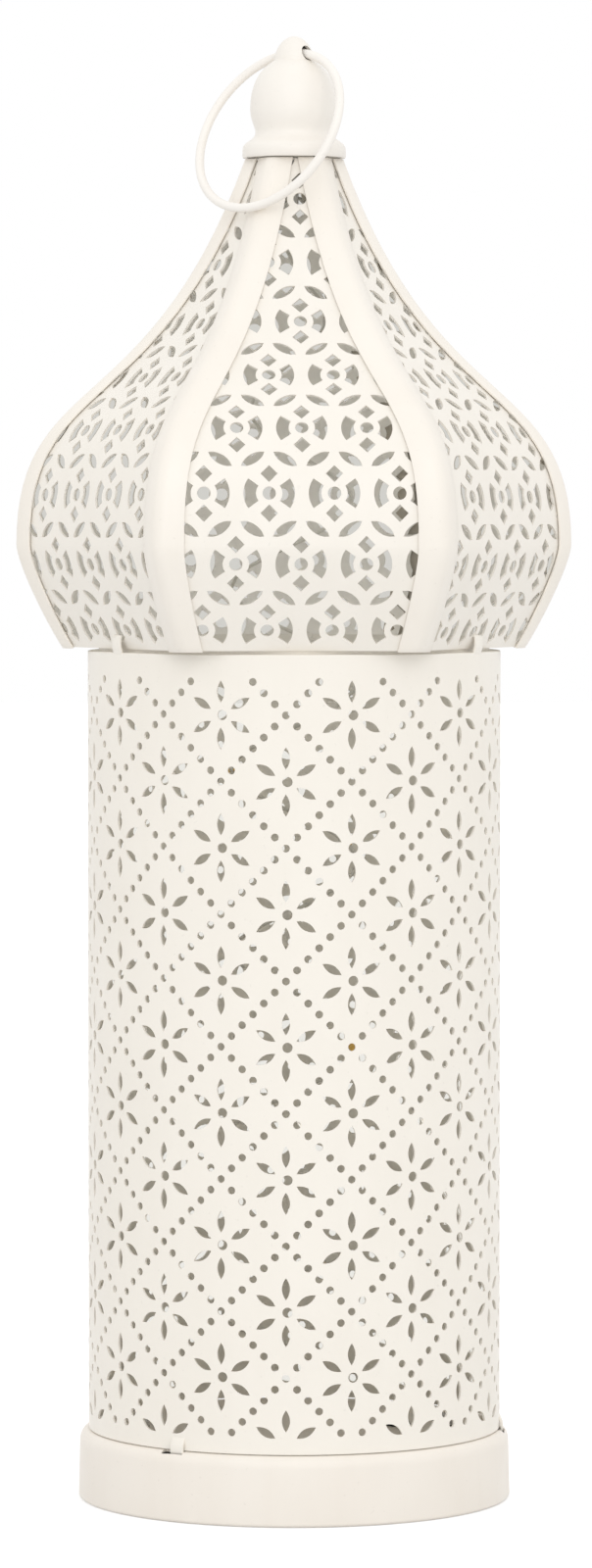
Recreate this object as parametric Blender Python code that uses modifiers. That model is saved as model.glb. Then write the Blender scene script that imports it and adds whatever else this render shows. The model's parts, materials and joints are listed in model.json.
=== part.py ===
"""LED lantern of painted sheet steel: pan base, tube body, onion dome of six panels,
hollow finial with a hanging ring, and a battery-fed string of small lights inside.

The lantern stands on z = 0 with its axis on Z and faces -Y. An azimuth is measured
from the front, -Y, towards +X.
"""
import math

import bmesh
import bpy
from mathutils import Matrix, Vector

MM = 0.001

# Sheet, gaps and roundness
SHEET = 0.6 * MM
GAP = 0.3 * MM
MERGE_REACH = 0.01 * MM
TURN_STEPS = 64
SMALL_TURN_STEPS = 16
EDGE_ROUND = 0.8

# Base pan
BASE_HEIGHT = 18.6 * MM
BASE_LEDGE = 2.4 * MM
BASE_SHOULDER_DROP = 3.4 * MM
BASE_FLARE = 0.3 * MM
BASE_FOOT_ROUND = 1.0 * MM
BASE_LIP_WIDTH = 3.4 * MM
SHOULDER_STEPS = 5

# Body tube and its tabs
BODY_DIAMETER = 111.1 * MM
BODY_HEIGHT = 210.3 * MM
NECK_HEIGHT = 3.4 * MM
NECK_STEP_SLOPE = 0.4
FOOT_TAB_WIDTH = 4.0 * MM
FOOT_TAB_FOLD = 3.4 * MM
FOOT_TAB_AZIMUTH = math.radians(-35)
FOOT_SLOT_PLAY = 1.3 * MM
TOP_TAB_WIDTH = 2.8 * MM
TOP_TAB_FOLD = 6.4 * MM
TOP_TAB_AZIMUTH = math.radians(60)
TAB_COUNT = 3

# Onion dome
PANEL_COUNT = 6
DOME_HEIGHT = 131.3 * MM
DOME_BELLY_WIDTH = 150.0 * MM
DOME_BELLY_HEIGHT = 28.0 * MM
DOME_FOOT_INSET = 1.35 * MM
DOME_FOOT_LEAN = 0.55
DOME_FOOT_REACH = 0.30
DOME_UNDER_REACH = 0.16
DOME_OVER_REACH = 0.456
DOME_CROWN_REACH = 0.688
DOME_CROWN_LEAN = 0.36
DOME_CROWN_INSET = 0.4 * MM
DOME_LOW_STATIONS = 6
DOME_HIGH_STATIONS = 12
RIB_FOOT_FLANGE = 7.4 * MM
RIB_CROWN_JOINT = 1.3 * MM
PANEL_JOINT = 0.8 * MM

# Finial, crown and ring
FINIAL_HEIGHT = 32.6 * MM
FINIAL_WALL = 0.9 * MM
COLLAR_RADIUS = 13.9 * MM
COLLAR_HEIGHT = 2.2 * MM
WAIST_RADIUS = 10.4 * MM
WAIST_HEIGHT = 6.9 * MM
BULB_RADIUS = 11.8 * MM
BULB_HEIGHT = 13.0 * MM
NOSE_RADIUS = 5.3 * MM
NOSE_HEIGHT = 26.2 * MM
NOSE_FULLNESS = 0.55
NOSE_FLARE = 0.25
NOSE_DROOP = 0.15
BULB_FULLNESS = 0.57
FINIAL_STEPS = 28
CROWN_SHEET = 0.8 * MM
RING_RADIUS = 23.4 * MM
RING_WIRE = 2.4 * MM
RING_PLAY = 1.0 * MM
RING_HOLE_HEIGHT = 27.6 * MM
RING_AXIS_TURN = math.radians(-43.3)
RING_SOLVE = math.radians(0.0001)
RING_STEPS = 48
RING_WIRE_STEPS = 10
RING_BORE_STEPS = 24
RING_REST = 1.66 * MM

# Hook for the light string
HOOK_WIRE = 2.4 * MM
HOOK_DROP = 8.6 * MM
HOOK_BEND = 4.0 * MM
HOOK_BEND_STEPS = 8
HOOK_THREAD_PROUD = 3.6 * MM
NUT_HEIGHT = 2.0 * MM
NUT_WALL = 1.0 * MM
NUT_SIDES = 6
WASHER_WIDTH = 6.4 * MM
WASHER_SHEET = 0.5 * MM

# Light string
LEAD_DIAMETER = 1.0 * MM
LEAD_COIL_RADIUS = 17.0 * MM
LEAD_COIL_DROP = 21.6 * MM
LEAD_COIL_STEPS = 16
LEAD_COIL_TURNS = 6.2
LEAD_SETTLE_TURNS = 0.7
LEAD_TAPER_TURNS = 1.6
LEAD_TOP_RADIUS = 8.0 * MM
LEAD_RISE = 6.5 * MM
BEAD_COUNT = 10
BEAD_FIRST_STEP = 13
BEAD_EVERY_STEPS = 6
BEAD_LENGTH = 5.0 * MM
BEAD_DIAMETER = 4.0 * MM
BEAD_ROUND = 0.85
BEAD_STEPS = 10

# Battery box
CELL_DIAMETER = 10.5 * MM
CELL_LENGTH = 44.5 * MM
CELL_NUB_DIAMETER = 3.8 * MM
CELL_NUB_LENGTH = 1.2 * MM
CELL_COUNT = 3
CELL_PLAY = 0.5 * MM
CELL_HEADROOM = 2.3 * MM
CELL_EDGE = 0.5 * MM
SPRING_LENGTH = 3.9 * MM
SPRING_WIRE = 0.7 * MM
SPRING_WIDE_RADIUS = 3.4 * MM
SPRING_NARROW_RADIUS = 2.2 * MM
SPRING_TURNS = 2.5
SPRING_STEPS = 8
CONTACT_SHEET = 0.4 * MM
CONTACT_WIDTH = 8.6 * MM
CONTACT_HEIGHT = 8.0 * MM
BOX_WALL = 1.4 * MM
BOX_BATTERY_SHIFT = -11.0 * MM
EAR_LENGTH = 9.0 * MM
EAR_WIDTH = 10.0 * MM
EAR_THICKNESS = 2.0 * MM
DOOR_THICKNESS = 1.4 * MM
DOOR_LIP_HEIGHT = 1.6 * MM
DOOR_LIP_SETBACK = 8.4 * MM
SCREW_DIAMETER = 3.0 * MM
SCREW_HEAD_WIDTH = 5.6 * MM
SCREW_HEAD_HEIGHT = 2.0 * MM
SCREW_END_PROUD = 1.0 * MM

# Switch and circuit board
BOARD_CELL_LENGTH = 19.0 * MM
BOARD_LENGTH = 22.0 * MM
BOARD_WIDTH = 12.0 * MM
BOARD_SHEET = 1.2 * MM
BOARD_DEPTH = 7.4 * MM
POST_DIAMETER = 3.2 * MM
POST_PIN_DIAMETER = 1.6 * MM
POST_SPREAD = 8.4 * MM
SWITCH_LENGTH = 8.6 * MM
SWITCH_WIDTH = 4.6 * MM
SWITCH_SHELL = 0.7 * MM
KNOB_LENGTH = 2.6 * MM
KNOB_WIDTH = 1.6 * MM
KNOB_PROUD = 1.2 * MM
KNOB_FOOT = 0.8 * MM
KNOB_TRAVEL = 2.0 * MM
COVER_SCREW_DIAMETER = 2.0 * MM
COVER_SCREW_HEAD = 3.4 * MM
COVER_SCREW_LENGTH = 7.0 * MM
COVER_SCREW_HEAD_HEIGHT = 0.6 * MM
BOSS_WALL = 0.9 * MM
GROMMET_PLAY = 0.7 * MM
GROMMET_NECK = 4.4 * MM
GROMMET_FLANGE = 7.0 * MM
GROMMET_LIP = 1.2 * MM

# Places that follow from the sizes above
body_radius = BODY_DIAMETER / 2
base_radius = body_radius + BASE_LEDGE
body_bottom = BASE_HEIGHT + GAP
dome_bottom = body_bottom + BODY_HEIGHT
dome_top = dome_bottom + DOME_HEIGHT
finial_bottom = dome_top + GAP
plate_under = BASE_HEIGHT - SHEET
half_side = math.pi / PANEL_COUNT
crown_corner = COLLAR_RADIUS - DOME_CROWN_INSET
rib_stack = SHEET + GAP
box_top = plate_under - GAP
box_roof = box_top - BOX_WALL
box_rim = box_roof - CELL_DIAMETER - CELL_HEADROOM
door_top = box_rim - GAP
door_bottom = door_top - DOOR_THICKNESS
cell_bay_length = CELL_LENGTH + SPRING_LENGTH + CONTACT_SHEET + 4 * GAP
cell_spacing = CELL_DIAMETER + CELL_PLAY
cell_bay_width = cell_spacing * CELL_COUNT + 2 * GAP
box_width = cell_bay_width + 2 * BOX_WALL
cell_bay_left = BOX_BATTERY_SHIFT - cell_bay_length / 2
cell_bay_right = BOX_BATTERY_SHIFT + cell_bay_length / 2
board_bay_left = cell_bay_right + BOX_WALL
board_bay_right = board_bay_left + BOARD_CELL_LENGTH
box_left = cell_bay_left - BOX_WALL
box_right = board_bay_right + BOX_WALL
board_x = board_bay_right - GAP - BOARD_WIDTH / 2
board_top = box_roof - BOARD_DEPTH
board_bottom = board_top - BOARD_SHEET
cell_height = (box_roof + door_top) / 2

for old in list(bpy.data.objects):
    bpy.data.objects.remove(old)
parts = bpy.data.collections.new("led_lantern")
tools = bpy.data.collections.new("led_lantern_cutters")
bpy.context.scene.collection.children.link(parts)
bpy.context.scene.collection.children.link(tools)


# Materials

def finish(name, colour, roughness, metallic=0.0):
    """A plain Principled material."""
    material = bpy.data.materials.new(name)
    material.use_nodes = True
    shader = material.node_tree.nodes["Principled BSDF"]
    shader.inputs["Base Color"].default_value = (*colour, 1.0)
    shader.inputs["Roughness"].default_value = roughness
    shader.inputs["Metallic"].default_value = metallic
    return material


base_paint = finish("base_paint", (0.84, 0.78, 0.70), 0.45)
body_paint = finish("body_paint", (0.90, 0.86, 0.80), 0.45)
panel_paint = finish("panel_paint", (0.90, 0.86, 0.80), 0.45)
rib_paint = finish("rib_paint", (0.92, 0.88, 0.83), 0.45)
finial_paint = finish("finial_paint", (0.92, 0.88, 0.83), 0.42)
ring_paint = finish("ring_paint", (0.91, 0.87, 0.82), 0.42)
crown_steel = finish("crown_steel", (0.82, 0.78, 0.72), 0.5)
hook_steel = finish("hook_steel", (0.62, 0.62, 0.63), 0.35, 1.0)
clear_lead = finish("clear_lead", (0.78, 0.76, 0.69), 0.30, 0.0)
amber_bead = finish("amber_bead", (0.95, 0.62, 0.18), 0.15)
black_rubber = finish("black_rubber", (0.03, 0.03, 0.03), 0.7)
white_plastic = finish("white_plastic", (0.86, 0.86, 0.84), 0.4)
cell_sleeve = finish("cell_sleeve", (0.16, 0.17, 0.19), 0.35, 0.3)
contact_nickel = finish("contact_nickel", (0.70, 0.69, 0.66), 0.3, 1.0)
green_board = finish("green_board", (0.05, 0.26, 0.12), 0.45)
switch_steel = finish("switch_steel", (0.66, 0.66, 0.65), 0.4, 1.0)
black_plastic = finish("black_plastic", (0.04, 0.04, 0.045), 0.5)
screw_zinc = finish("screw_zinc", (0.68, 0.69, 0.70), 0.32, 1.0)


# Building blocks

def add_piece(name, data, material):
    """Puts a finished piece in the lantern's collection."""
    piece = bpy.data.objects.new(name, data)
    data.materials.append(material)
    parts.objects.link(piece)
    return piece


def add_tool(name, data):
    """Puts a cutter or a shape to be joined in the collection that isn't built."""
    tool = bpy.data.objects.new(name, data)
    tools.objects.link(tool)
    tool.hide_render = True
    tool.display_type = "WIRE"
    return tool


def outline(profile, closed):
    """A line of (radius, height) points at +X, ready to be turned; it runs down the outer side."""
    mesh = bpy.data.meshes.new("outline")
    count = len(profile)
    edges = [(i, i + 1) for i in range(count - 1)]
    if closed:
        edges.append((count - 1, 0))
    mesh.from_pydata([(radius, 0, height) for radius, height in profile], edges, [])
    return mesh


def turn(piece, steps):
    """Turns a profile once round Z."""
    screw = piece.modifiers.new("turn", "SCREW")
    screw.steps = steps
    screw.render_steps = steps
    screw.use_merge_vertices = True
    screw.merge_threshold = MERGE_REACH
    return piece


def turned_piece(name, profile, steps, material, closed=True):
    """A turned sub-part; a profile that starts and ends on the axis isn't closed."""
    return turn(add_piece(name, outline(profile, closed), material), steps)


def block_mesh(size, centre):
    """A box of the given size round a centre."""
    mesh = bpy.data.meshes.new("block")
    shape = bmesh.new()
    bmesh.ops.create_cube(shape, size=1.0)
    bmesh.ops.scale(shape, vec=size, verts=shape.verts)
    bmesh.ops.translate(shape, vec=centre, verts=shape.verts)
    shape.to_mesh(mesh)
    shape.free()
    return mesh


def span_mesh(low, high):
    """A box between two corners."""
    size = [b - a for a, b in zip(low, high)]
    centre = [(a + b) / 2 for a, b in zip(low, high)]
    return block_mesh(size, centre)


def rod_mesh(diameter, bottom, top, steps=SMALL_TURN_STEPS):
    """An upright cylinder on Z between two heights."""
    mesh = bpy.data.meshes.new("rod")
    shape = bmesh.new()
    bmesh.ops.create_cone(shape, cap_ends=True, segments=steps, radius1=diameter / 2,
                          radius2=diameter / 2, depth=top - bottom)
    bmesh.ops.translate(shape, vec=(0, 0, (top + bottom) / 2), verts=shape.verts)
    shape.to_mesh(mesh)
    shape.free()
    return mesh


def nut_mesh(bore, bottom, top):
    """A six-sided blank for a nut, with a set wall round its bore."""
    return rod_mesh((bore + 2 * NUT_WALL) / math.cos(math.pi / NUT_SIDES), bottom, top, NUT_SIDES)


def combine(piece, tool, operation):
    """Cuts a piece with a tool, or joins the tool to it."""
    boolean = piece.modifiers.new(operation.lower(), "BOOLEAN")
    boolean.operation = operation
    boolean.solver = "EXACT"
    boolean.object = tool
    return boolean


def bent_sheet(profile, half_width):
    """An open sheet, bent along (distance, height) points and facing the front."""
    shape = bmesh.new()
    corners = [shape.verts.new((-half_width, -out, height)) for out, height in profile]
    edges = [shape.edges.new(pair) for pair in zip(corners, corners[1:])]
    grown = bmesh.ops.extrude_edge_only(shape, edges=edges)
    moved = [item for item in grown["geom"] if isinstance(item, bmesh.types.BMVert)]
    bmesh.ops.translate(shape, vec=(2 * half_width, 0, 0), verts=moved)
    shape.normal_update()
    return shape


def trim(shape, point, direction):
    """Cuts away all of a sheet that lies beyond a plane."""
    everything = list(shape.verts) + list(shape.edges) + list(shape.faces)
    bmesh.ops.bisect_plane(shape, geom=everything, dist=1e-7, plane_co=point, plane_no=direction,
                           clear_outer=True)


def to_mesh(shape, name):
    """Turns a bmesh into a mesh and frees it."""
    mesh = bpy.data.meshes.new(name)
    shape.to_mesh(mesh)
    shape.free()
    return mesh


def thicken(piece, thickness, offset):
    """Gives an open sheet its thickness: offset -1 is behind its face, 0 is both sides."""
    wall = piece.modifiers.new("sheet", "SOLIDIFY")
    wall.thickness = thickness
    wall.offset = offset
    wall.use_even_offset = True
    return wall


def bezier(start, leave, arrive, end, count):
    """Points along a cubic curve in a plane, each with its direction, without the last one."""
    start, leave, arrive, end = (Vector(point) for point in (start, leave, arrive, end))
    samples = []
    for i in range(count):
        t = i / count
        s = 1 - t
        point = start * s**3 + leave * 3 * s * s * t + arrive * 3 * s * t * t + end * t**3
        along = (leave - start) * s * s + (arrive - leave) * 2 * s * t + (end - arrive) * t * t
        samples.append((point, along.normalized()))
    return samples


def wire_piece(name, points, diameter, material):
    """A wire along a route, with filled ends."""
    curve = bpy.data.curves.new(name, "CURVE")
    curve.dimensions = "3D"
    curve.bevel_depth = diameter / 2
    curve.bevel_resolution = 2
    curve.use_fill_caps = True
    spline = curve.splines.new("POLY")
    spline.points.add(len(points) - 1)
    for knot, point in zip(spline.points, points):
        knot.co = (*point, 1)
    return add_piece(name, curve, material)


# Base pan: pressed from one sheet, open below, with its foot edge turned inwards

def shoulder(radius, height, reach, drop):
    """A quarter of an ellipse from the flat top out to the wall."""
    points = []
    for i in range(SHOULDER_STEPS + 1):
        angle = math.radians(90) * (1 - i / SHOULDER_STEPS)
        points.append((radius + reach * math.cos(angle), height - drop + drop * math.sin(angle)))
    return points


foot_radius = base_radius + BASE_FLARE
foot_inner = BASE_FOOT_ROUND - SHEET / 2
foot_chamfer = BASE_FOOT_ROUND * (1 - math.sqrt(0.5))
outside = [(0, BASE_HEIGHT)]
outside += shoulder(body_radius, BASE_HEIGHT, BASE_LEDGE, BASE_SHOULDER_DROP)
outside += [
    (foot_radius, BASE_FOOT_ROUND),
    (foot_radius - foot_chamfer, foot_chamfer),
    (foot_radius - BASE_FOOT_ROUND, 0),
    (foot_radius - BASE_LIP_WIDTH, 0),
]
inside = [
    (foot_radius - BASE_LIP_WIDTH, SHEET),
    (foot_radius - SHEET - foot_inner, SHEET),
    (foot_radius - SHEET, SHEET + foot_inner),
]
inside += reversed(shoulder(body_radius, plate_under, BASE_LEDGE - SHEET, BASE_SHOULDER_DROP - SHEET))
inside += [(0, plate_under)]
base_pan = turned_piece("base_pan", outside + inside, TURN_STEPS, base_paint, closed=False)

for i in range(TAB_COUNT):
    width = FOOT_TAB_WIDTH + 2 * FOOT_SLOT_PLAY
    low = (-width / 2 - FOOT_SLOT_PLAY / 2, -body_radius - GAP, plate_under - SHEET)
    high = (width / 2 - FOOT_SLOT_PLAY / 2, -body_radius + SHEET + GAP, BASE_HEIGHT + SHEET)
    slot = add_tool(f"foot_slot_{i + 1}", span_mesh(low, high))
    slot.rotation_euler.z = FOOT_TAB_AZIMUTH + math.tau * i / TAB_COUNT
    combine(base_pan, slot, "DIFFERENCE")


# Body: a rolled tube with a drawn-in neck, foot tabs below and hooked tabs above

def dome_profile(inset):
    """(distance, height) of the middle of a dome side, a given way inside the ribs' outer face."""
    flat = math.cos(half_side)
    foot = body_radius - DOME_FOOT_INSET
    belly = DOME_BELLY_WIDTH / 2 * flat
    crown = crown_corner * flat
    crown_slope = DOME_CROWN_LEAN * flat
    belly_top = dome_bottom + DOME_BELLY_HEIGHT
    high = DOME_HEIGHT - DOME_BELLY_HEIGHT
    foot_reach = DOME_BELLY_HEIGHT * DOME_FOOT_REACH
    crown_reach = high * DOME_CROWN_REACH
    foot_side = (foot + DOME_FOOT_LEAN * foot_reach, dome_bottom + foot_reach)
    belly_under = (belly, belly_top - DOME_BELLY_HEIGHT * DOME_UNDER_REACH)
    belly_over = (belly, belly_top + high * DOME_OVER_REACH)
    crown_side = (crown + crown_slope * crown_reach, dome_top - crown_reach)
    samples = bezier((foot, dome_bottom), foot_side, belly_under, (belly, belly_top), DOME_LOW_STATIONS)
    samples += bezier((belly, belly_top), belly_over, crown_side, (crown, dome_top), DOME_HIGH_STATIONS)
    samples += [(Vector((crown, dome_top)), Vector((-crown_slope, 1)).normalized())]
    return [(point.x - along.y * inset, point.y + along.x * inset) for point, along in samples]


panel_profile = dome_profile(rib_stack)
panel_foot_out, panel_foot = panel_profile[0]
neck_radius = panel_foot_out - SHEET - GAP
neck_top = panel_foot + NECK_HEIGHT
neck_start = panel_foot - GAP
step_run = abs(body_radius - neck_radius) * NECK_STEP_SLOPE
body_profile = [
    (neck_radius, neck_top),
    (neck_radius, neck_start - step_run),
    (body_radius, neck_start - 2 * step_run),
    (body_radius, body_bottom),
    (body_radius - SHEET, body_bottom),
    (body_radius - SHEET, neck_start - 2 * step_run - SHEET / 2),
    (neck_radius - SHEET, neck_start - step_run - SHEET / 2),
    (neck_radius - SHEET, neck_top),
]
body_shell = turned_piece("body_shell", body_profile, TURN_STEPS, body_paint)


def tab_strip(name, route, width, azimuth):
    """A strip of the body's own sheet, bent along a route and set at an azimuth."""
    strip = add_tool(name, to_mesh(bent_sheet(route, width / 2), name))
    strip.rotation_euler.z = azimuth
    thicken(strip, SHEET, 0)
    return strip


wall_middle = body_radius - SHEET / 2
fold_height = plate_under - GAP - SHEET / 2
foot_route = [
    (wall_middle, body_bottom + 3 * SHEET),
    (wall_middle, fold_height + SHEET),
    (wall_middle - SHEET, fold_height),
    (wall_middle - FOOT_TAB_FOLD, fold_height),
]
neck_middle = neck_radius - SHEET / 2
tab_out = max(panel_profile[1][0], body_radius) + GAP + SHEET
tab_height = neck_top + SHEET
top_route = [
    (neck_middle, neck_top - 3 * SHEET),
    (neck_middle, tab_height - SHEET),
    (neck_middle + SHEET, tab_height),
    (tab_out - SHEET, tab_height),
    (tab_out, tab_height - SHEET),
    (tab_out, tab_height - TOP_TAB_FOLD),
]
for i in range(TAB_COUNT):
    turn_on = math.tau * i / TAB_COUNT
    foot_tab = tab_strip(f"foot_tab_{i + 1}", foot_route, FOOT_TAB_WIDTH, FOOT_TAB_AZIMUTH + turn_on)
    combine(body_shell, foot_tab, "UNION")
    top_tab = tab_strip(f"top_tab_{i + 1}", top_route, TOP_TAB_WIDTH, TOP_TAB_AZIMUTH + turn_on)
    combine(body_shell, top_tab, "UNION")


# Dome panels: bent one way only, so that each would unroll flat

def mitre(direction):
    """The plane between two neighbouring dome sides, as the direction out of the front one."""
    return Vector((direction * math.cos(half_side), math.sin(half_side), 0))


for i in range(PANEL_COUNT):
    panel_sheet = bent_sheet(panel_profile, DOME_BELLY_WIDTH / 2)
    for direction in (-1, 1):
        trim(panel_sheet, -mitre(direction) * PANEL_JOINT, mitre(direction))
    panel = add_piece(f"dome_panel_{i + 1}", to_mesh(panel_sheet, "dome_panel"), panel_paint)
    azimuth = math.tau * i / PANEL_COUNT
    panel.rotation_euler.z = azimuth
    thicken(panel, SHEET, -1)
    if i % 2 == 1:
        low = (-TOP_TAB_WIDTH / 2 - GAP, -tab_out, tab_height - SHEET / 2 - GAP)
        high = (TOP_TAB_WIDTH / 2 + GAP, -neck_middle, tab_height + SHEET / 2 + GAP)
        slot = add_tool(f"panel_slot_{i + 1}", span_mesh(low, high))
        slot.rotation_euler.z = azimuth
        combine(panel, slot, "DIFFERENCE")


# Dome ribs: folded strips over the joints between the panels

rib_profile = dome_profile(0)
crown_flange = (crown_corner - RIB_CROWN_JOINT) / 2
rib_taper = (RIB_FOOT_FLANGE - crown_flange) / DOME_HEIGHT
rib_edge = Vector((0, 0, rib_taper * math.cos(half_side)))
for i in range(PANEL_COUNT):
    rib_sheet = bent_sheet(rib_profile, DOME_BELLY_WIDTH / 2)
    trim(rib_sheet, (0, 0, 0), mitre(1))
    trim(rib_sheet, (-RIB_FOOT_FLANGE, 0, dome_bottom), rib_edge - mitre(1))
    bmesh.ops.rotate(rib_sheet, matrix=Matrix.Rotation(-half_side, 3, "Z"), verts=rib_sheet.verts)
    rib = add_piece(f"dome_rib_{i + 1}", to_mesh(rib_sheet, "dome_rib"), rib_paint)
    rib.rotation_euler.z = half_side + math.tau * i / PANEL_COUNT
    fold = rib.modifiers.new("fold", "MIRROR")
    fold.use_axis = (True, False, False)
    fold.merge_threshold = MERGE_REACH
    thicken(rib, SHEET, -1)


# Crown disc: a shallow cup welded on the ends of the panels, inside the collar of the finial

crown_radius = COLLAR_RADIUS - FINIAL_WALL - GAP
hook_hole = HOOK_WIRE / 2 + GAP
crown_top = finial_bottom + CROWN_SHEET
crown_profile = [
    (crown_radius, finial_bottom + COLLAR_HEIGHT),
    (crown_radius, finial_bottom),
    (hook_hole, finial_bottom),
    (hook_hole, crown_top),
    (crown_radius - CROWN_SHEET, crown_top),
    (crown_radius - CROWN_SHEET, finial_bottom + COLLAR_HEIGHT),
]
turned_piece("crown_disc", crown_profile, FINIAL_STEPS, crown_steel)


# Finial: a hollow spun cap, bored through its nose for the ring

def finial_outline():
    """The outer side from the top of the nose down to the collar, each point with its direction."""
    rise = FINIAL_HEIGHT - NOSE_HEIGHT
    flank = NOSE_HEIGHT - BULB_HEIGHT
    dip = BULB_HEIGHT - WAIST_HEIGHT
    cove = WAIST_HEIGHT - COLLAR_HEIGHT
    tip = Vector((0, FINIAL_HEIGHT))
    nose = Vector((NOSE_RADIUS, NOSE_HEIGHT))
    bulb = Vector((BULB_RADIUS, BULB_HEIGHT))
    waist = Vector((WAIST_RADIUS, WAIST_HEIGHT))
    collar = Vector((COLLAR_RADIUS, COLLAR_HEIGHT))
    down = Vector((0, -1))
    across = Vector((1, 0))
    flare = Vector((NOSE_FLARE, -NOSE_DROOP))
    samples = bezier(tip, tip + across * NOSE_RADIUS * NOSE_FULLNESS,
                     nose - down * rise * (1 - NOSE_FULLNESS), nose, 6)
    samples += bezier(nose, nose + flare * flank, bulb - down * flank * BULB_FULLNESS, bulb, 6)
    samples += bezier(bulb, bulb + down * dip / 2, waist - down * dip / 4, waist, 3)
    samples += bezier(waist, waist + down * cove / 2, collar - down * cove / 2, collar, 4)
    samples += [(collar, down), (Vector((COLLAR_RADIUS, 0)), down)]
    return samples


finial_outside = []
finial_inside = []
for point, along in finial_outline():
    inward = Vector((along.y, -along.x)) * FINIAL_WALL
    finial_outside.append((point.x, finial_bottom + point.y))
    finial_inside.append((max(point.x + inward.x, 0), finial_bottom + point.y + inward.y))
finial_profile = finial_outside + finial_inside[::-1]
finial = turned_piece("finial", finial_profile, FINIAL_STEPS, finial_paint, closed=False)
ring_hole_height = finial_bottom + RING_HOLE_HEIGHT
bore_mesh = rod_mesh(RING_WIRE + RING_PLAY, -BULB_RADIUS, BULB_RADIUS, RING_BORE_STEPS)
ring_bore = add_tool("ring_bore", bore_mesh)
ring_bore.location.z = ring_hole_height
ring_bore.rotation_euler = (0, math.radians(90), RING_AXIS_TURN)
combine(finial, ring_bore, "DIFFERENCE")


# Hanging ring: its origin is on the axis of the bore, and its lowest point leans on the dome

def side_distance(height):
    """How far the outer face of a dome side is from the axis at a height."""
    for (low_out, low), (high_out, high) in zip(rib_profile, rib_profile[1:]):
        if low <= height <= high:
            return low_out + (high_out - low_out) * (height - low) / (high - low)
    return rib_profile[-1][0]


ring_ride = (NOSE_RADIUS - FINIAL_WALL / 2) ** 2 / (2 * RING_RADIUS)
ring_drop = 2 * RING_RADIUS - ring_ride
ring_side = math.cos(RING_AXIS_TURN - round(RING_AXIS_TURN / (2 * half_side)) * 2 * half_side)


def ring_clearance(lean):
    """The gap between the dome and the lowest point of a ring that leans out by an angle."""
    out = ring_drop * math.sin(lean) - RING_WIRE / 2 * math.cos(lean)
    height = ring_hole_height - ring_drop * math.cos(lean) - RING_WIRE / 2 * math.sin(lean)
    return out * ring_side - side_distance(height)


ring_lean = 0.0
ring_swing = math.radians(90)
while ring_swing > RING_SOLVE:
    ring_swing /= 2
    if ring_clearance(ring_lean + ring_swing) < RING_REST:
        ring_lean += ring_swing
bpy.ops.mesh.primitive_torus_add(major_radius=RING_RADIUS, minor_radius=RING_WIRE / 2,
                                 major_segments=RING_STEPS, minor_segments=RING_WIRE_STEPS)
hang_ring = bpy.context.object
hang_ring.name = "hang_ring"
for holder in list(hang_ring.users_collection):
    holder.objects.unlink(hang_ring)
parts.objects.link(hang_ring)
hang_ring.data.materials.append(ring_paint)
upright = Matrix.Translation((0, 0, ring_ride - RING_RADIUS)) @ Matrix.Rotation(math.radians(90), 4, "X")
hang_ring.data.transform(upright)
hang_ring.data.shade_smooth()
hang_ring.location.z = ring_hole_height
hang_ring.rotation_euler = (-ring_lean, 0, RING_AXIS_TURN)


# Hook for the light string: a threaded wire hook, its washer and its nut on the crown disc

hook_top = crown_top + GAP + NUT_HEIGHT + HOOK_THREAD_PROUD
hook_low = finial_bottom - HOOK_DROP
hook_route = [(0, 0, hook_top), (0, 0, hook_low)]
for i in range(HOOK_BEND_STEPS):
    angle = math.pi * (i + 1) / HOOK_BEND_STEPS
    hook_route.append((0, HOOK_BEND * (1 - math.cos(angle)), hook_low - HOOK_BEND * math.sin(angle)))
wire_piece("light_hook", hook_route, HOOK_WIRE, hook_steel)

nut_seat = crown_top + GAP
hook_nut = add_piece("hook_nut", nut_mesh(2 * hook_hole, nut_seat, nut_seat + NUT_HEIGHT), screw_zinc)
nut_hole = add_tool("hook_nut_hole", rod_mesh(2 * hook_hole, crown_top, hook_top))
combine(hook_nut, nut_hole, "DIFFERENCE")
washer_top = finial_bottom - GAP
washer_profile = [
    (WASHER_WIDTH / 2, washer_top),
    (WASHER_WIDTH / 2, washer_top - WASHER_SHEET),
    (hook_hole, washer_top - WASHER_SHEET),
    (hook_hole, washer_top),
]
turned_piece("hook_washer", washer_profile, SMALL_TURN_STEPS, screw_zinc)


# Battery box: an open tray under the base plate, with a wall between the cells and the board

battery_box = add_piece("battery_box", span_mesh((box_left, -box_width / 2, box_rim),
                                                 (box_right, box_width / 2, box_top)), white_plastic)
bay_half = cell_bay_width / 2
cell_bay = add_tool("cell_bay", span_mesh((cell_bay_left, -bay_half, box_rim - BOX_WALL),
                                          (cell_bay_right, bay_half, box_roof)))
board_bay = add_tool("board_bay", span_mesh((board_bay_left, -bay_half, box_rim - BOX_WALL),
                                            (board_bay_right, bay_half, box_roof)))
combine(battery_box, cell_bay, "DIFFERENCE")
combine(battery_box, board_bay, "DIFFERENCE")

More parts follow.
